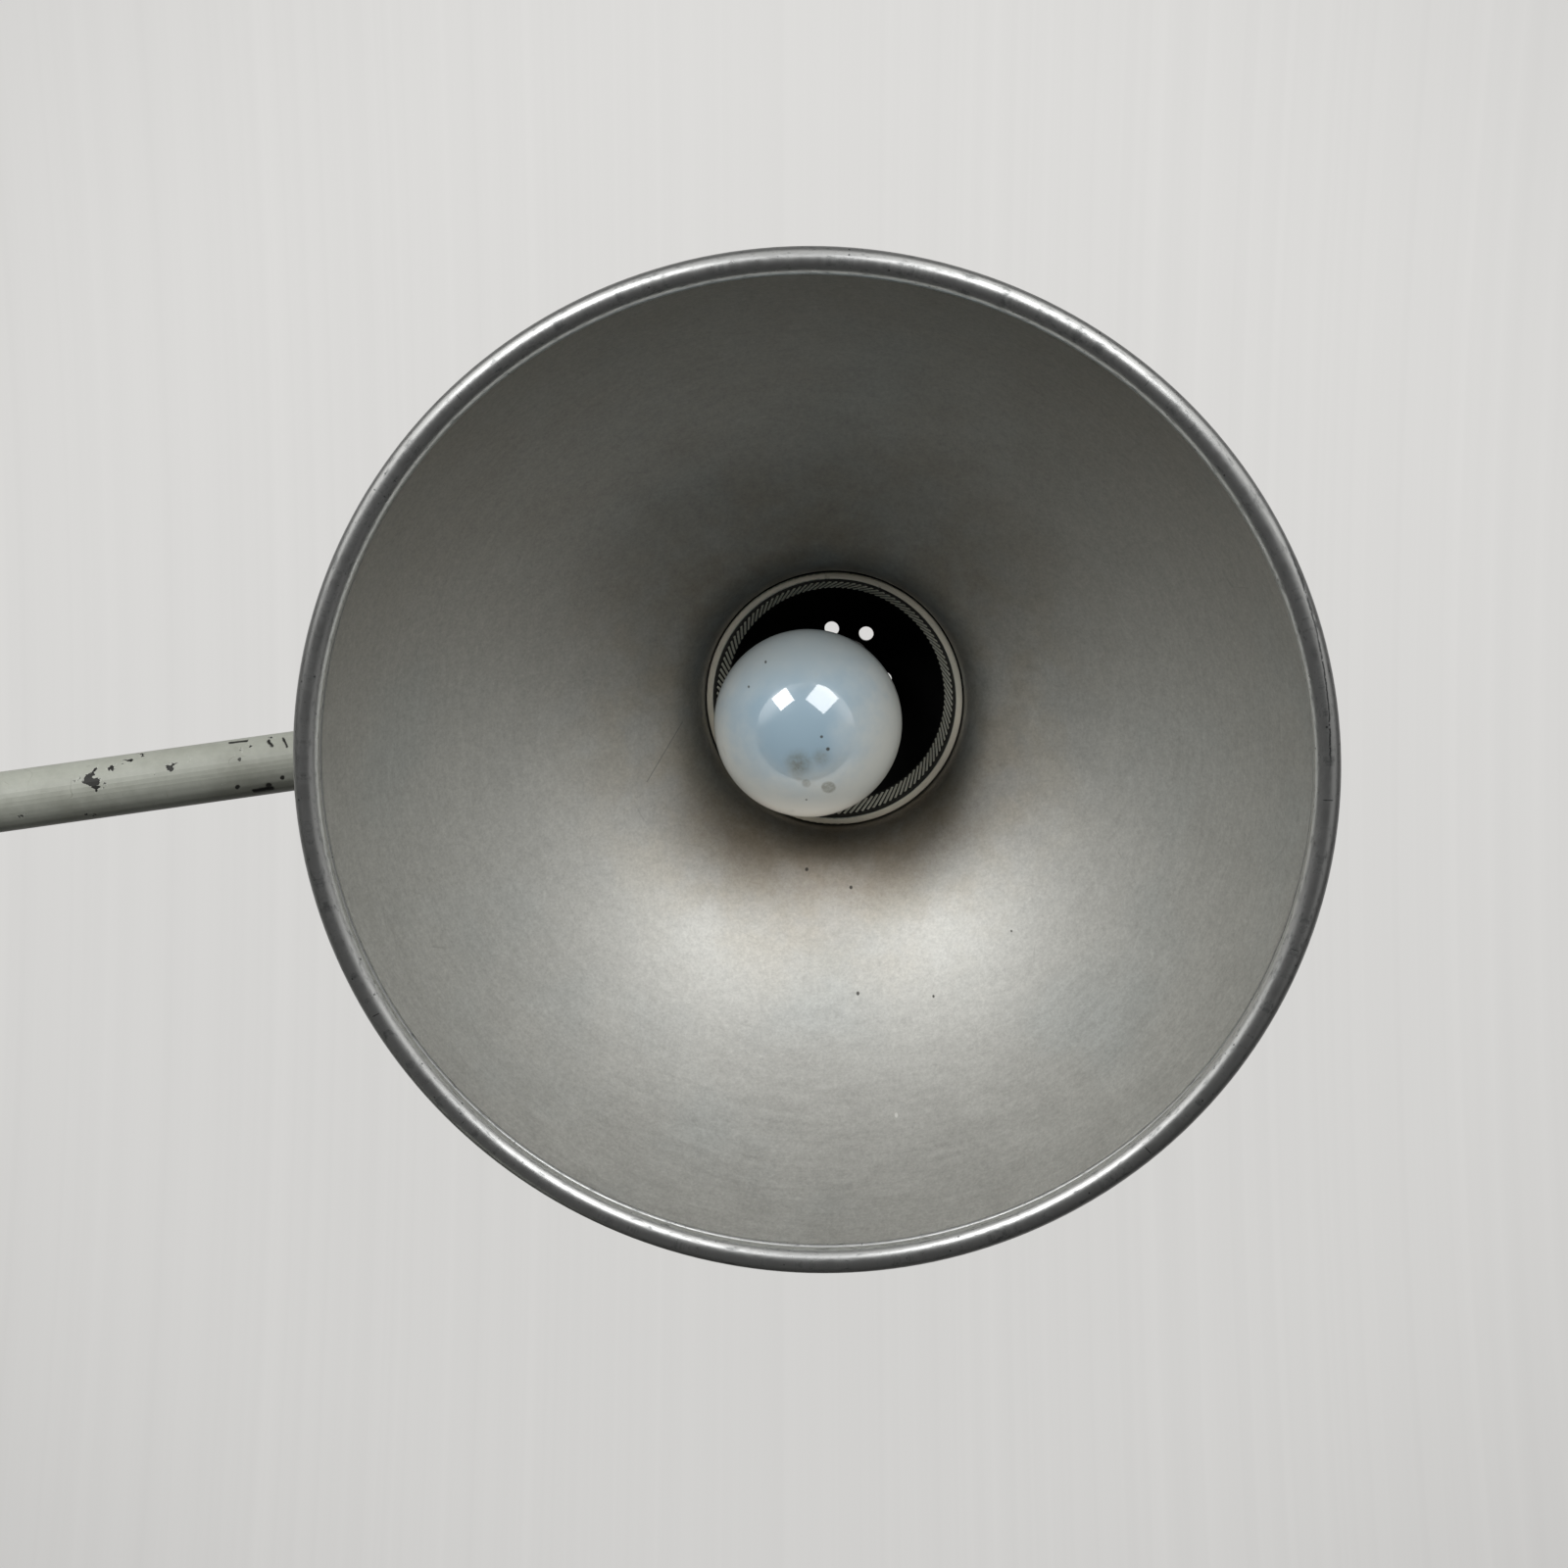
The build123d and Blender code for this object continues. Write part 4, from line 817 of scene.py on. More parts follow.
@dataclass(frozen=True)
class WornEnamel:
    """Light grey-green enamel with dirt in it and chips down to dark metal."""

    name: str
    paint: Colour = linear(176, 179, 169)
    grime: Colour = linear(118, 117, 104)
    bare: Colour = linear(50, 50, 48)
    primer: Colour = linear(206, 208, 200)
    # the near-black colour of the cap's inside
    soot: Colour = linear(9, 9, 8)
    rim: Colour = linear(232, 224, 206)
    chips: float = 0.66  # the flaking noise's level above which the paint is gone
    inside: Place | None = None  # the frame of a cap whose inside is near-black
    view: Place | None = None  # the frame that the listed chips are placed in
    ragged: float = 1.6  # mm that those chips' edges wander
    level: float = 0.37  # the flaking noise that leaves a chip at its own height
    cap_round: tuple[float, float] = (24.5, 172.5)  # mm, where the cap's back starts to round
    cap_wall: float = 20.75  # mm from there to the middle of the cap's wall
    cap_mouth: float = 130.4  # mm behind the rim, where the cap's front edge ends

    def material(self) -> bpy.types.Material:
        """Builds the finish."""
        m = Material(self.name)
        here = m.millimetres()
        clouds = m.noise(here, 26.0, 4.0, 0.6)
        fine = m.noise(here, 2.2, 3.0, 0.6)
        flakes = m.noise(here, 7.0, 5.0, 0.62) * 0.75 + m.noise(here, 31.0, 2.0, 0.5) * 0.25
        peel = flakes + (fine - 0.5) * 0.10
        chip = peel.ramp(self.chips, self.chips + 0.006)
        primer = peel.ramp(self.chips - 0.014, self.chips - 0.006)
        if self.view is not None:
            seen = m.local(self.view)
            along = seen.part(0) + (fine - 0.5) * self.ragged
            flat = m.vector(along, seen.part(1) + (flakes - self.level) * self.ragged, 0.0)
            placed = m.spots(flat, ARM_CHIPS)
            for line in ARM_SCRAPES:
                placed = placed.most(m.stroke(flat, line))
            chip = chip.most(placed * seen.part(2).ramp(-0.5, 0.5))
        drawn = m.vector(here.part(0), here.part(1) * 0.4, here.part(2) * 1.3)
        rubs = m.hairlines(drawn, 14.0, 0.004, 0.6)
        dust = m.specks(here, 6.0, 0.28, 0.25).most(m.specks(here, 2.6, 0.16, 0.15))
        colour = m.mix(self.paint, self.grime, clouds.ramp(0.42, 0.8) * 0.5)
        colour = m.tint(colour, 1 + (fine - 0.5) * 0.22)
        colour = m.mix(colour, self.grime, (dust * 0.8).most(rubs * 0.7))
        colour = m.mix(colour, self.primer, primer * 0.45)
        colour = m.mix(colour, self.bare, chip)
        rough = 0.42 + (clouds - 0.5) * 0.2 + chip * 0.08
        # inside the cap, behind its mouth, the colour turns near-black and rougher, and its front edge is
        # paler
        if self.inside is not None:
            local = m.local(self.inside)
            depth = local.part(2)
            out = (local.off_axis() - self.cap_round[0]).most(0.0)
            back = (depth - self.cap_round[1]).most(0.0)
            wall = (out * out + back * back).root()
            dark_inside = wall.ramp(self.cap_wall + 0.1, self.cap_wall - 0.1)
            dark_inside = dark_inside * depth.ramp(self.cap_mouth - 0.1, self.cap_mouth + 0.6)
            colour = m.mix(colour, self.soot, dark_inside)
            rim = depth.ramp(self.cap_mouth, self.cap_mouth - 0.3)
            colour = m.mix(colour, self.rim, rim * (0.50 + clouds.ramp(0.35, 0.6) * 0.35))
            rough = rough + dark_inside * 0.4
        m.set(
            Base_Color=colour,
            Roughness=rough,
            Metallic=chip * 0.6,
            Normal=m.bump(fine * 0.12 - chip + rubs * -0.3, 0.12, 0.7),
        )
        return m.material


@dataclass(frozen=True)
class RibbedPaintAndShade:
    """Dark enamel on the collar, with a painted highlight on the tops of its ribs, pale spots on them
    that are wear and painted glints, and painted shade between the ribs.
    """

    name: str
    place: Place
    # the pale top colour is a painted highlight on the ribs, the next a mix of wear and painted glints,
    # and the dark one painted shade between the ribs
    top: Colour = linear(216, 215, 200)
    wear_and_glint: Colour = linear(246, 244, 232)
    groove_shade: Colour = linear(44, 44, 39)
    front: tuple[float, float] = (40.2, 131.3)  # mm, the collar's face: radius and depth in front
    square: tuple[float, float] = (0.906, 0.423)  # the face's direction

    def material(self) -> bpy.types.Material:
        """Builds the finish."""
        m = Material(self.name)
        here = m.local(self.place)
        sunk = (here.off_axis() - self.front[0]) * self.square[0]
        sunk = sunk + (here.part(2) - self.front[1]) * self.square[1]
        top = sunk.ramp(-0.12, -0.36)
        clouds = m.noise(here, 9.0, 3.0, 0.6)
        fine = m.noise(here, 0.7, 2.0, 0.6)
        # painted shade between the ribs, a painted highlight on their tops, and wear with painted glints
        # on them
        colour = m.mix(self.groove_shade, self.top, top)
        colour = m.mix(colour, self.wear_and_glint, top * fine.ramp(0.5, 0.7) * clouds.ramp(0.4, 0.6))
        m.set(
            Base_Color=colour,
            Roughness=0.75 - top * 0.35,
            Metallic=top * 0.3,
            Normal=m.bump(fine, 0.02, 0.4),
        )
        return m.material


@dataclass(frozen=True)
class OpalGlass:
    """A bulb frosted inside: smooth and glossy outside, paler towards its shoulders, with painted shade
    over its top, a painted pale crescent of reflected light along its bottom edge, and a faint painted
    glow though it is unlit.
    """

    name: str
    place: Place
    tip: Colour = linear(172, 198, 214)
    shoulder: Colour = linear(232, 235, 229)
    # painted shade over the bulb's top
    top_shade: Colour = linear(176, 184, 184)
    # painted light: the pale crescent along the bottom edge, and the colour that the bulb gives off
    glow: Colour = linear(255, 250, 238)
    smudge: Colour = linear(128, 126, 108)
    speck: Colour = linear(64, 60, 52)
    globe_r: float = 30.0
    specks: tuple[Mark, ...] = (
        Mark(around(-70, 25), 0.5, 0.9),
        Mark(around(-50, 22), 0.5, 0.8),
        Mark(around(160, 10), 0.75, 0.9),
        Mark(around(-175, 8), 0.6, 0.85),
        Mark(around(90, 20), 0.45, 0.8),
    )
    smudges: tuple[Mark, ...] = (
        Mark(around(90, 7), 6.0, 0.75, 0.9),
        Mark(around(140, 9), 4.0, 0.5, 0.9),
        Mark(around(115, 18), 2.5, 0.9, 0.35),
        Mark(around(95, 14), 1.8, 0.6, 0.5),
    )

    def material(self) -> bpy.types.Material:
        """Builds the finish."""
        m = Material(self.name)
        here = m.local(self.place)
        x, y = here.part(0), here.part(1)
        clouds = m.noise(here, 14.0, 3.0, 0.6)
        dust = m.noise(here, 1.3, 3.0, 0.7)
        wander = here.off_axis() + (clouds - 0.5) * 20 + (dust - 0.5) * 3
        # bluish towards the tip and paler towards the shoulders; the shift with y also makes the lower
        # side paler, as painted light
        colour = m.mix(self.tip, self.shoulder, (wander + y * 0.45).ramp(7.0, 33.0))
        # painted shade over the top, and a painted crescent of reflected light along the bottom edge
        colour = m.mix(colour, self.top_shade, (y * -1).ramp(12.0, 27.0) * 0.7)
        glow = (y * 0.96 + x * 0.15).ramp(self.globe_r * 0.55, self.globe_r * 0.9)
        colour = m.mix(colour, self.glow, glow)
        ragged = (dust - 0.5) * 2.4 + (clouds - 0.5) + 1
        flat = m.vector(x, y, 0.0)
        smudged = (m.spots(flat, self.smudges) * ragged).least(1.0)
        colour = m.mix(colour, self.smudge, smudged * 0.7)
        colour = m.mix(colour, self.smudge, clouds.ramp(0.62, 0.75) * 0.2)
        marks = (m.specks(here, 9.0, 0.3, 0.14) * 0.7).most(m.spots(flat, self.specks))
        colour = m.mix(colour, self.speck, marks)
        # a faint painted glow all over and a stronger one along the bottom edge, though the bulb is unlit
        m.set(
            Base_Color=colour,
            Roughness=0.32 + (dust - 0.5) * 0.1 + marks * 0.3,
            Coat_Weight=0.9 - marks * 0.9,
            Coat_Roughness=0.05,
            Coat_IOR=2.1,
            IOR=1.45,
            Emission_Color=m.tint(colour, 0.3 + glow * 0.7),
            Emission_Strength=0.2,
            Normal=m.bump(dust, 0.01, 0.2),
        )
        return m.material


@dataclass(frozen=True)
class TurnedMetal:
    """Machined steel, brass or tin plate with fine marks and a little staining."""

    name: str
    metal: Colour = linear(168, 168, 166)
    stain: Colour = linear(92, 86, 78)
    rough: float = 0.36

    def material(self) -> bpy.types.Material:
        """Builds the finish."""
        m = Material(self.name)
        here = m.millimetres()
        clouds = m.noise(here, 8.0, 4.0, 0.6)
        fine = m.noise(here, 0.5, 2.0, 0.7)
        colour = m.mix(self.metal, self.stain, clouds.ramp(0.5, 0.85) * 0.5)
        m.set(
            Base_Color=colour,
            Metallic=1.0,
            Roughness=self.rough + (clouds - 0.5) * 0.16 + (fine - 0.5) * 0.08,
            Normal=m.bump(fine, 0.01, 0.35),
        )
        return m.material


@dataclass(frozen=True)
class Moulded:
    """Moulded plastic, rubber, fibre or glazed ceramic with dust in its surface."""

    name: str
    base: Colour
    rough: float = 0.38
    dust: Colour = linear(120, 117, 108)
    dusty: float = 0.18
    relief: float = 0.03

    def material(self) -> bpy.types.Material:
        """Builds the finish."""
        m = Material(self.name)
        here = m.millimetres()
        clouds = m.noise(here, 9.0, 4.0, 0.6)
        fine = m.noise(here, 0.8, 3.0, 0.7)
        colour = m.mix(self.base, self.dust, clouds.ramp(0.5, 0.9) * self.dusty)
        m.set(
            Base_Color=colour,
            Roughness=self.rough + (clouds - 0.5) * 0.18,
            Normal=m.bump(fine, self.relief, 0.5),
        )
        return m.material


class Kind(Enum):
    """The finishes that plain solids can have, named as the record's material slots."""

    ARM_PAINT = "arm_paint"
    CASTING_PAINT = "casting_paint"
    BASE_PAINT = "base_paint"
    STEEL = "steel"
    SPRING_STEEL = "spring_steel"
    BRASS = "brass"
    CAP_METAL = "cap_metal"
    BLACK_PLASTIC = "black_plastic"
    PORCELAIN = "porcelain"
    FIBRE = "fibre"
    NYLON = "nylon"
    RUBBER = "rubber"
    BUTTON_PLASTIC = "button_plastic"


@dataclass
class Finishes:
    """Every finish of the lamp, each built once."""

    head: Place
    holder: Place
    arm: Place
    made: dict[str, bpy.types.Material] = field(default_factory=dict)

    def build(self) -> "Finishes":
        """Builds them all."""
        finishes = (
            SpunAluminium("spun_aluminium", self.head),
            OpalGlass("opal_glass", self.holder),
            WornEnamel("cap_paint", chips=0.66, inside=self.head),
            RibbedPaintAndShade("ring_paint", self.head),
            # near-black steel, for the lampholder bracket deep inside the cap
            TurnedMetal("darkened_steel", linear(30, 29, 27), linear(12, 12, 11), 0.6),
            WornEnamel(Kind.ARM_PAINT.value, chips=0.62, view=self.arm),
            WornEnamel(Kind.CASTING_PAINT.value, chips=0.62),
            WornEnamel(Kind.BASE_PAINT.value, chips=0.655),
            TurnedMetal(Kind.STEEL.value),
            TurnedMetal(Kind.SPRING_STEEL.value, linear(112, 114, 118), linear(60, 58, 56), 0.32),
            TurnedMetal(Kind.BRASS.value, linear(190, 162, 98), linear(104, 80, 46), 0.30),
            TurnedMetal(Kind.CAP_METAL.value, linear(190, 190, 188)),
            Moulded(Kind.BLACK_PLASTIC.value, linear(30, 28, 27), 0.3),
            Moulded(Kind.PORCELAIN.value, linear(222, 219, 208), 0.2),
            Moulded(Kind.FIBRE.value, linear(96, 52, 38), 0.6),
            Moulded(Kind.NYLON.value, linear(206, 204, 194), 0.45),
            Moulded(Kind.RUBBER.value, linear(34, 34, 34), 0.7, relief=0.06),
            Moulded(Kind.BUTTON_PLASTIC.value, linear(128, 30, 24), 0.3),
        )
        self.made = {finish.name: finish.material() for finish in finishes}
        return self

    def of(self, name: str) -> bpy.types.Material:
        """The finish of one name."""
        return self.made[name]


# ------------------------------------------------------------------ head


@dataclass
class Reflector:
    """The spun bowl with its rolled edge, turned as one sheet."""

    place: Place
    finish: bpy.types.Material
    neck_r: float = 43.3
    sleeve_end: float = 139.8
    flare_start: float = 133.4
    flare_r: float = 23.2
    flare_turn: float = 61.7  # degrees
    sheet: float = 1.2
    bead_r: float = 3.8
    bead_centre: float = 143.7
    bowl_end: tuple[float, float] = (141.6, 0.6)
    bowl_share: float = 0.972  # of its sweep, before the lip
    lip: tuple[tuple[float, float], ...] = ((-0.35, -0.5), (-0.25, -1.1), (0.3, -1.3))
    seam: float = 66.0  # degrees round the rolled edge, where its sheet ends
    curl: float = 1.1  # mm, how thick that end is
    steps: int = 224
    flare_steps: int = 14
    bowl_steps: int = 44
    edge_steps: int = 30
    back_steps: int = 40

    def _flare_end(self) -> Vector:
        """Where the flare meets the bowl, as a radius and a height."""
        turn = math.radians(self.flare_turn)
        middle = Vector((self.neck_r + self.flare_r, self.flare_start))
        return middle + Vector((-math.cos(turn), -math.sin(turn))) * self.flare_r

    def _bowl(self) -> tuple[float, float, float, float]:
        """The bowl's arc: its centre's radius and height, its own radius and its sweep."""
        turn = math.radians(self.flare_turn)
        start = self._flare_end()
        way = Vector((math.sin(turn), -math.cos(turn)))
        square = Vector((way.y, -way.x))
        chord = Vector(self.bowl_end) - start
        radius = chord.length_squared / (2 * chord.dot(square))
        centre = start + square * radius
        first, last = start - centre, Vector(self.bowl_end) - centre
        sweep = math.degrees(math.atan2(first.cross(last), first.dot(last)))
        return centre.x, centre.y, radius, sweep

    def build(self) -> bpy.types.Object:
        """Turns the bowl, inside and out, with its rolled edge."""
        centre_r, centre_h, radius, sweep = self._bowl()
        flare_r = self.neck_r + self.flare_r
        shape = Shape("spun_reflector", self.place)
        shape.begin(self.neck_r, self.sleeve_end).line(self.neck_r, self.flare_start)
        shape.arc(flare_r, self.flare_start, self.flare_turn, self.flare_steps)
        shape.arc(centre_r, centre_h, sweep * self.bowl_share, self.bowl_steps)
        lip_r, lip_h = shape.tip.co.x, shape.tip.co.z
        for out, up in self.lip:
            shape.line(lip_r + out, lip_h + up)
        entry = math.atan2(shape.tip.co.z, shape.tip.co.x - self.bead_centre)
        shape.line(self.bead_centre + self.bead_r * math.cos(entry), self.bead_r * math.sin(entry))
        around_edge = self.seam + 360 - math.degrees(entry)
        shape.arc(self.bead_centre, 0.0, around_edge, self.edge_steps)
        inner, seam = self.bead_r - self.curl, math.radians(self.seam)
        shape.line(self.bead_centre + inner * math.cos(seam), inner * math.sin(seam))
        shape.line(self.bead_centre - 0.4, self.bead_r - 0.6)
        centre = Vector((centre_r, centre_h))
        outwards = Vector((self.bead_centre - 0.55, self.bead_r - 0.1)) - centre
        outwards = outwards.normalized() * (radius + self.sheet)
        shape.line(centre_r + outwards.x, centre_h + outwards.y)
        inwards = (self._flare_end() - centre).normalized()
        back_sweep = math.degrees(math.atan2(outwards.cross(inwards), outwards.dot(inwards)))
        shape.arc(centre_r, centre_h, back_sweep, self.back_steps)
        shape.arc(flare_r, self.flare_start, -self.flare_turn, self.flare_steps)
        shape.line(self.neck_r + self.sheet, self.sleeve_end)
        shape.close().revolve(self.steps)
        piece = shape.finish("head", self.finish, 50.0)
        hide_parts("reflector")
        return piece


@dataclass
class RibbedRing:
    """The dark collar inside the cap's mouth, with slanted ribs all round."""

    place: Place
    finish: bpy.types.Material
    count: int = 122
    outer_r: float = 40.6
    low: float = 131.3
    high: float = 139.6
    throat_r: float = 36.7
    slant: float = 34.0  # degrees off the line towards the axis
    edge: float = 0.4  # mm, the flat outside the ribs
    lip: float = 0.8  # mm, the flat inside them
    rib: tuple[float, float] = (0.95, 0.9)  # mm, its width and height
    rib_share: float = 0.94  # its length as a share of the collar's face
    ease: float = 0.16  # mm off the ribs' corners
    steps: int = 160

    def build(self) -> bpy.types.Object:
        """Turns the collar and lays its ribs on it."""
        shape = Shape("ribbed_collar", self.place)
        start = Vector((self.outer_r - self.edge, self.low))
        end = Vector((self.throat_r, self.high - self.lip))
        shape.begin(*start).line(self.outer_r, self.low)
        shape.line(self.outer_r, self.high).line(self.throat_r, self.high)
        shape.line(*end).close().revolve(self.steps)
        known = set(shape.mesh.verts)
        slope = math.atan2(end.y - start.y, start.x - end.x)
        middle = (start + end) / 2
        rib = bmesh.ops.create_cube(shape.mesh, size=1.0)["verts"]
        length = (end - start).length * self.rib_share
        bmesh.ops.scale(shape.mesh, vec=(length, *self.rib), verts=rib)
        turn = Matrix.Rotation(slope, 4, "Y") @ Matrix.Rotation(math.radians(self.slant), 4, "Z")
        turn = Matrix.Translation((middle.x, 0, middle.y)) @ turn
        bmesh.ops.transform(shape.mesh, matrix=turn, verts=rib)
        edges = list({e for v in rib for e in v.link_edges})
        bmesh.ops.bevel(
            shape.mesh,
            geom=edges,
            offset=self.ease,
            affect="EDGES",
            segments=1,
            profile=0.5,
            material=-1,
        )
        ribs = [v for v in shape.mesh.verts if v not in known]
        faces = list({f for v in ribs for f in v.link_faces})
        rib_edges = list({e for v in ribs for e in v.link_edges})
        bmesh.ops.spin(
            shape.mesh,
            geom=ribs + rib_edges + faces,
            cent=(0, 0, 0),
            axis=(0, 0, 1),
            angle=FULL_TURN,
            steps=self.count,
            use_duplicate=True,
        )
        piece = shape.finish("head", self.finish, 30.0)
        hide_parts("ribbed_ring")
        return piece


@dataclass
class Bulb:
    """The opal globe bulb."""

    place: Place
    finish: bpy.types.Material
    reach: float
    globe_r: float = 30.0
    leave: float = 130.0  # degrees round the globe from its tip
    bend_r: float = 40.6
    bend: float = 40.0
    neck_r: float = 13.5
    cap_high: float = 50.0
    cap_r: float = 13.1
    cap_wall: float = 0.55
    tucked: float = 4.0  # mm that the glass goes on inside its cap
    steps: int = 128
    globe_steps: int = 60
    bend_steps: int = 16

    def build(self) -> bpy.types.Object:
        """Turns the globe and its neck."""
        shape = Shape("opal_bulb", self.place)
        shape.begin(0.0, self.reach + self.globe_r)
        shape.arc(0.0, self.reach, -self.leave, self.globe_steps)
        leave, apart = math.radians(self.leave), self.globe_r + self.bend_r
        bend_h = self.reach + apart * math.cos(leave)
        shape.arc(apart * math.sin(leave), bend_h, self.bend, self.bend_steps)
        shape.line(self.neck_r, self.cap_high + 2)
        shape.line(self.cap_r - self.cap_wall, self.cap_high + 0.5)
        shape.line(self.cap_r - self.cap_wall, self.cap_high - self.tucked)
        shape.line(0.0, self.cap_high - self.tucked)
        shape.revolve(self.steps)
        piece = shape.finish("head", self.finish, 60.0)
        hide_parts("bulb_glass")
        return piece


@dataclass
class Head:
    """Everything that tilts with the reflector."""

    joints: Joints
    finishes: Finishes
    bulb_at: tuple[float, float, float] = (6.1, 0.4, 90.4)
    cap_back: float = 192.0

    @staticmethod
    def holder_place(head: Place, bulb_at: tuple[float, float, float], back: float) -> Place:
        """The lampholder's frame: Z runs from the cap's back to the bulb's centre."""
        foot = head.point(0, 0, back)
        way = (head.point(*bulb_at) - foot).normalized()
        side = (head.x - way * head.x.dot(way)).normalized()
        return Place(foot, side, way)

    def build(self) -> None:
        """Builds the turned pieces and dresses the rest."""
        head = self.joints.head()
        holder = self.holder_place(head, self.bulb_at, self.cap_back)
        reach = (head.point(*self.bulb_at) - holder.origin).length / MM
        made = [
            Reflector(head, self.finishes.of("spun_aluminium")).build(),
            RibbedRing(head, self.finishes.of("ring_paint")).build(),
            Bulb(holder, self.finishes.of("opal_glass"), reach).build(),
            smooth_copy("cap", "spun_cap", self.finishes.of("cap_paint"), sharp=35.0),
        ]
        for piece in made:
            log.info("built %s with %d faces", piece.name, len(piece.data.polygons))


@dataclass
class Fittings:
    """The solids that keep their shape: each gets its slot's finish, with smooth shading."""

    finishes: Finishes
    done: tuple[str, ...] = ("reflector", "ribbed_ring", "bulb_glass", "cap")
    blackened: tuple[str, ...] = ("lampholder_bracket",)

    def build(self) -> None:
        """Dresses every solid that has no piece of its own."""
        slots = {s["node"]: s["material_slot"] for s in frame["record"]["subparts"]}
        for node in sorted(frame["nodes"]):
            if node in self.done:
                continue
            slot = slots[node]
            name = "steel" if slot == "spun_aluminium" else slot
            finish = self.finishes.of("darkened_steel" if node in self.blackened else name)
            piece = smooth_copy(node, f"{node}_piece", finish)
            log.info("dressed %s as %s", node, slot)


# ------------------------------------------------------------------ studio


@dataclass(frozen=True)
class Softbox:
    """A square lamp, seen from the bulb in a direction given in the camera's own terms."""

    name: str
    right: float
    up: float
    back: float
    distance: float
    width: float
    power: float

    def build(self, aim: Vector, camera: Matrix) -> None:
        """Hangs the lamp and points it at the head.

        Args:
            aim: the point that it lights.
            camera: the camera's turn.
        """
        way = (camera.to_3x3() @ Vector((self.right, self.up, self.back))).normalized()
        data = bpy.data.lights.new(self.name, "AREA")
        data.shape = "SQUARE"
        data.size = self.width
        data.energy = self.power
        lamp = bpy.data.objects.new(self.name, data)
        bpy.context.scene.collection.objects.link(lamp)
        lamp.location = aim + way * self.distance
        spin = Matrix.Rotation(math.radians(45), 4, "Z")
        lamp.matrix_world = (
            Matrix.Translation(lamp.location) @ way.to_track_quat("Z", "Y").to_matrix().to_4x4() @ spin
        )


@dataclass(frozen=True)
class Glow:
    """A soft bright part of the surround, in a direction given in the camera's own terms."""

    azimuth: float  # degrees to the right of the way back to the camera
    elevation: float
    spread: float
    strength: float

    def light(self, graph: Graph, way: Field, camera: Matrix) -> Field:
        """Its strength in every direction.

        Args:
            graph: the surround's graph.
            way: the direction looked in.
            camera: the camera's turn.

        Returns:
            The strength.
        """
        turn, rise = math.radians(self.azimuth), math.radians(self.elevation)
        level = math.cos(rise)
        local = Vector((math.sin(turn) * level, math.sin(rise), math.cos(turn) * level))
        near = graph.dot(way, (camera.to_3x3() @ local).normalized())
        edge = math.cos(math.radians(self.spread))
        return near.ramp(edge, math.cos(math.radians(self.spread * 0.3))) * self.strength


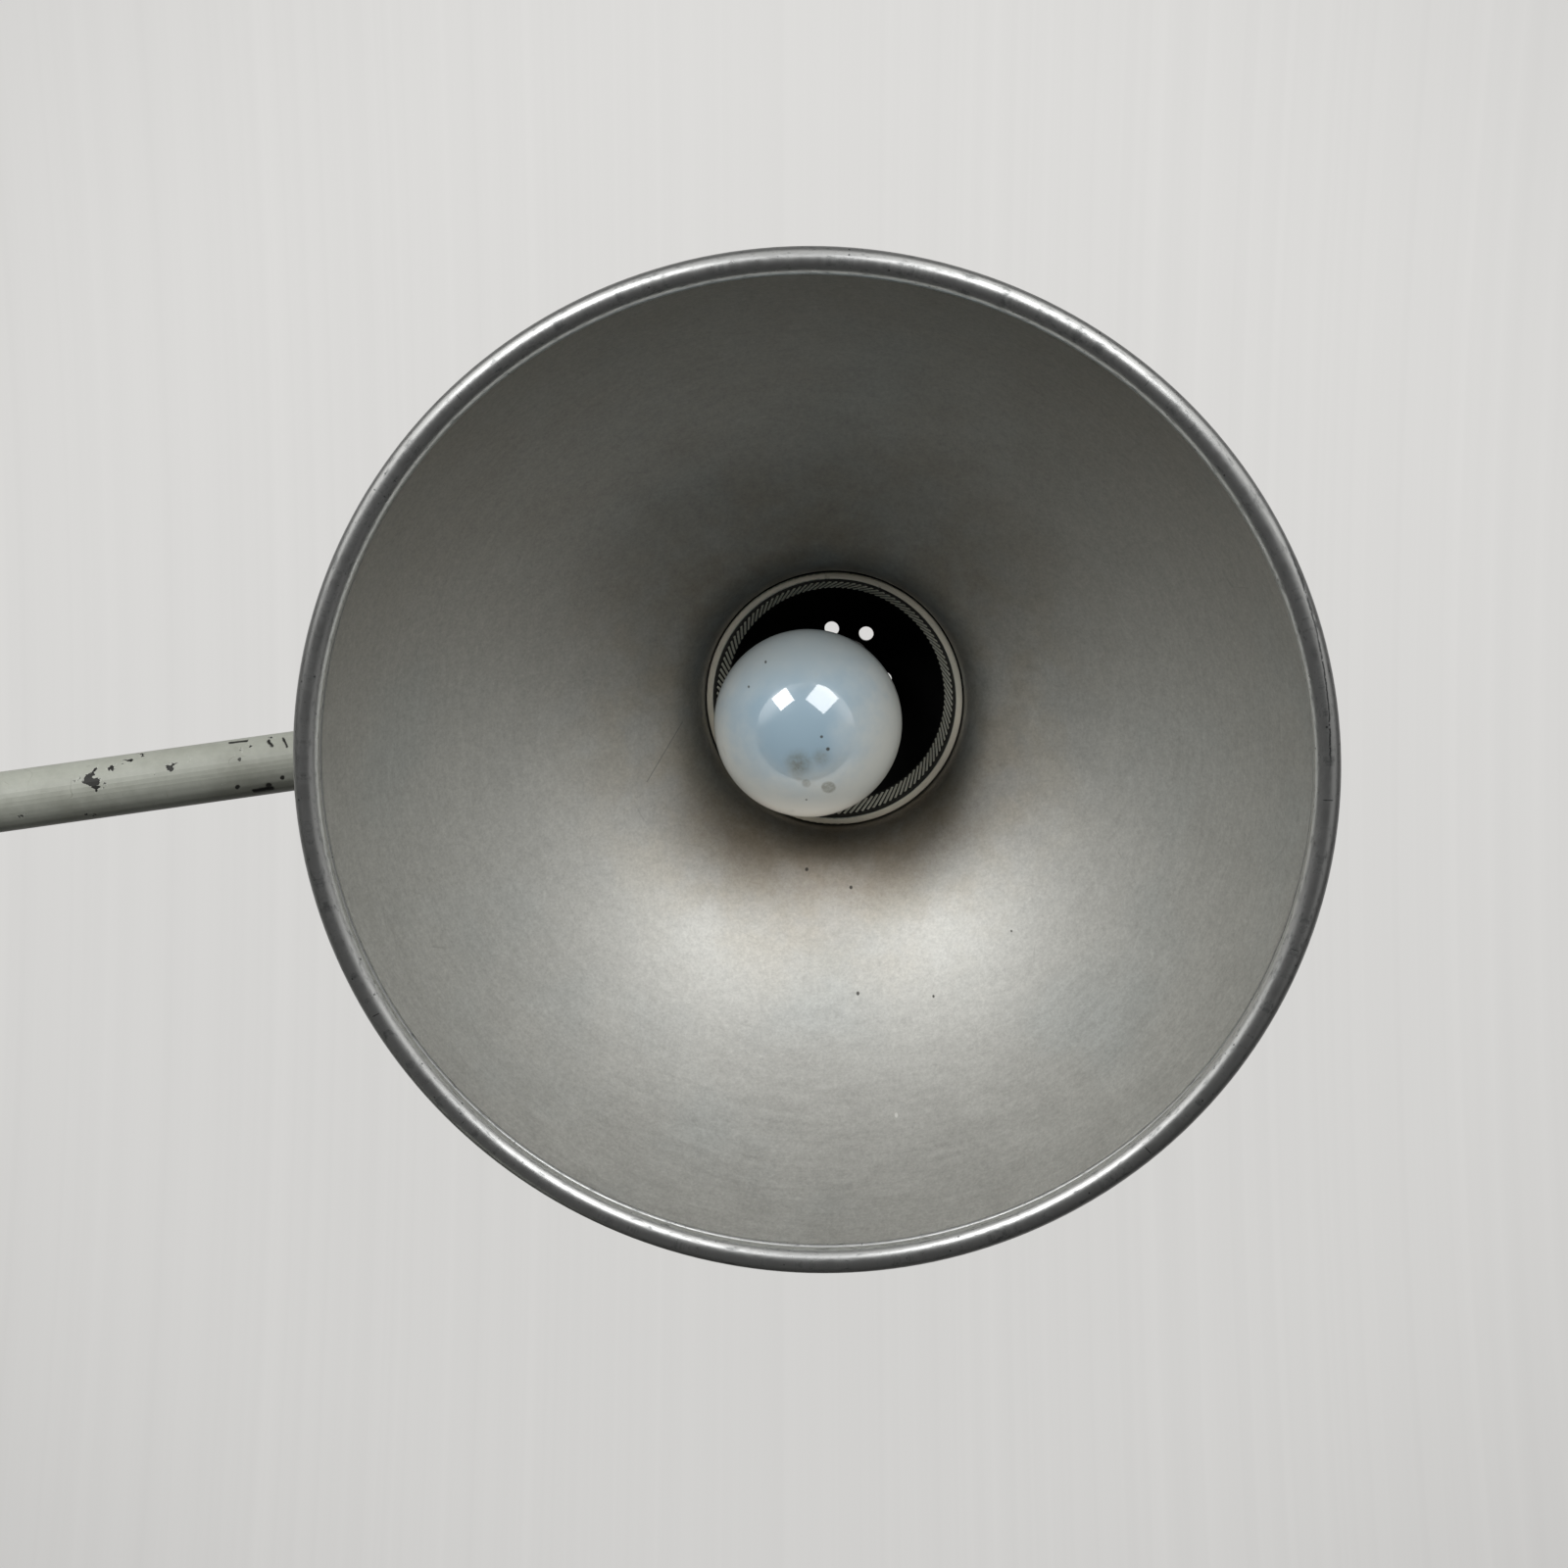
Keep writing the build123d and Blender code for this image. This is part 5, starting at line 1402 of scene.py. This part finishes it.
@dataclass
class Studio:
    """A pale floor, a pale surround, two softboxes and the camera."""

    joints: Joints
    lens: float = 54.0
    bearing: float = 6.843  # degrees that the camera is turned to the right of +Y
    camera_from_pivot: tuple[float, float, float] = (-40.22, -809.56, -23.67)
    surround: Colour = linear(215, 214, 212)
    fill: float = 0.03  # the surround's light from where nothing bright is
    stripes: float = 90.0  # how fine the backdrop's faint upright stripes are
    behind: float = 0.5  # the surround's light behind the lamp, which the camera doesn't see
    floor: Colour = linear(224, 223, 220)
    floor_unseen: Colour = linear(62, 62, 61)  # its colour for every ray but the camera's
    floor_r: float = 3.0
    softboxes: tuple[Softbox, ...] = (
        Softbox("softbox_left", -0.497, 0.448, 0.745, 1.6, 0.55, 8.0),
        Softbox("softbox_right", 0.269, 0.479, 0.836, 1.6, 0.80, 8.8),
    )
    glows: tuple[Glow, ...] = (
        Glow(-65.0, 26.0, 34.0, 1.9),
        Glow(60.0, 26.0, 34.0, 1.35),
        Glow(-40.0, 56.0, 28.0, 1.0),
        Glow(40.0, 56.0, 28.0, 1.7),
        Glow(50.0, -10.0, 34.0, 0.4),
    )
    seen_round: tuple[float, float] = (28.0, 16.0)  # degrees off the view where the backdrop dims
    backdrop: float = 0.90  # its strength at the picture's edge, before the two changes below
    middle: float = 0.10  # how much stronger it is in the middle
    upwards: float = 0.16  # how much stronger it is high up than low down
    stripe: float = 0.07  # how strong the stripes are
    floor_fade: tuple[float, float] = (0.35, 0.75)  # metres out, where the floor clears

    def build(self) -> None:
        """Builds the studio."""
        camera = self._camera()
        aim = self.joints.head().point(0, 0, 90)
        for lamp in self.softboxes:
            lamp.build(aim, camera.matrix_world)
        self._floor()
        self._world(camera.matrix_world)
        view = bpy.context.scene.view_settings
        view.view_transform = "Standard"

    def _camera(self) -> bpy.types.Object:
        """Sets up the level camera in front of the reflector."""
        data = bpy.data.cameras.new("camera")
        data.lens = self.lens
        data.sensor_width = 36.0
        data.clip_start = 0.01
        camera = bpy.data.objects.new("camera", data)
        bpy.context.scene.collection.objects.link(camera)
        place = self.joints.head_pivot + Vector(self.camera_from_pivot) * MM
        turn = Matrix.Rotation(math.radians(-self.bearing), 4, "Z") @ Matrix.Rotation(
            math.radians(90), 4, "X"
        )
        camera.matrix_world = Matrix.Translation(place) @ turn
        bpy.context.scene.camera = camera
        bpy.context.view_layer.update()
        return camera

    def _floor(self) -> None:
        """Lays a round floor that fades into the surround."""
        mesh = bmesh.new()
        bmesh.ops.create_circle(mesh, cap_ends=True, segments=96, radius=self.floor_r)
        data = bpy.data.meshes.new("floor")
        mesh.to_mesh(data)
        mesh.free()
        floor = bpy.data.objects.new("floor", data)
        bpy.context.scene.collection.objects.link(floor)
        m = Material("floor")
        away = m.vectors("LENGTH", "Value", {0: m.place})
        rays = m.node("ShaderNodeLightPath")
        seen = Field(m, rays.outputs["Is Camera Ray"])
        # only the camera sees the pale colour: as bounced light it would flood the upper bowl
        m.set(Base_Color=m.mix(self.floor_unseen, self.floor, seen), Roughness=0.9)
        clear = m.node("ShaderNodeBsdfTransparent")
        mixed = m.node("ShaderNodeMixShader", None, {0: away.ramp(*self.floor_fade)})
        m.tree.links.new(m.shader.outputs[0], mixed.inputs[1])
        m.tree.links.new(clear.outputs[0], mixed.inputs[2])
        out = next(n for n in m.tree.nodes if n.bl_idname == "ShaderNodeOutputMaterial")
        m.tree.links.new(mixed.outputs[0], out.inputs[0])
        data.materials.append(m.material)

    def _world(self, camera: Matrix) -> None:
        """Surrounds the lamp with a pale backdrop, and lights the lamp from its bright parts only.

        Args:
            camera: the camera's turn.
        """
        world = bpy.data.worlds.new("surround")
        bpy.context.scene.world = world
        world.use_nodes = True
        g = Graph(world.node_tree)
        way = g.field("ShaderNodeTexCoord", "Generated")
        rays = g.node("ShaderNodeLightPath")
        seen = Field(g, rays.outputs["Is Camera Ray"])
        forward = camera.to_3x3() @ Vector((0, 0, -1))
        ahead = g.dot(way, forward)
        far, near = (math.cos(math.radians(angle)) for angle in self.seen_round)
        height = way.part(2).ramp(-0.5, 0.5)
        aside = camera.to_3x3() @ Vector((1, 0, 0))
        across = g.dot(way, aside)
        stripes = g.field(
            "ShaderNodeTexNoise",
            0,
            {"noise_dimensions": "1D"},
            {"W": across, "Scale": self.stripes, "Detail": 3.0, "Roughness": 0.7},
        )
        backdrop = (stripes - 0.5) * self.stripe + self.backdrop
        backdrop = backdrop + ahead.ramp(far, near) * self.middle + (height - 0.5) * self.upwards
        light = self.glows[0].light(g, way, camera)
        for glow in self.glows[1:]:
            light = light + glow.light(g, way, camera)
        behind = ahead.ramp(0.2, 0.8) * self.behind
        strength = seen * backdrop + (1 - seen) * (light + self.fill + behind)
        shade = g.node(
            "ShaderNodeBackground", None, {"Color": (*self.surround, 1.0), "Strength": strength}
        )
        out = g.node("ShaderNodeOutputWorld")
        g.tree.links.new(shade.outputs[0], out.inputs[0])


def main() -> None:
    """Builds the lamp's looks in order, then the studio."""
    logging.basicConfig(level=logging.INFO, format="%(name)s: %(message)s")
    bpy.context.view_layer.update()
    joints = Joints()
    head = joints.head()
    holder = Head.holder_place(head, Head.bulb_at, Head.cap_back)
    finishes = Finishes(head, holder, joints.upper_arm()).build()
    Head(joints, finishes).build()
    Fittings(finishes).build()
    Studio(joints).build()
    log.info("sizes written")


if __name__ == "__main__":
    main()
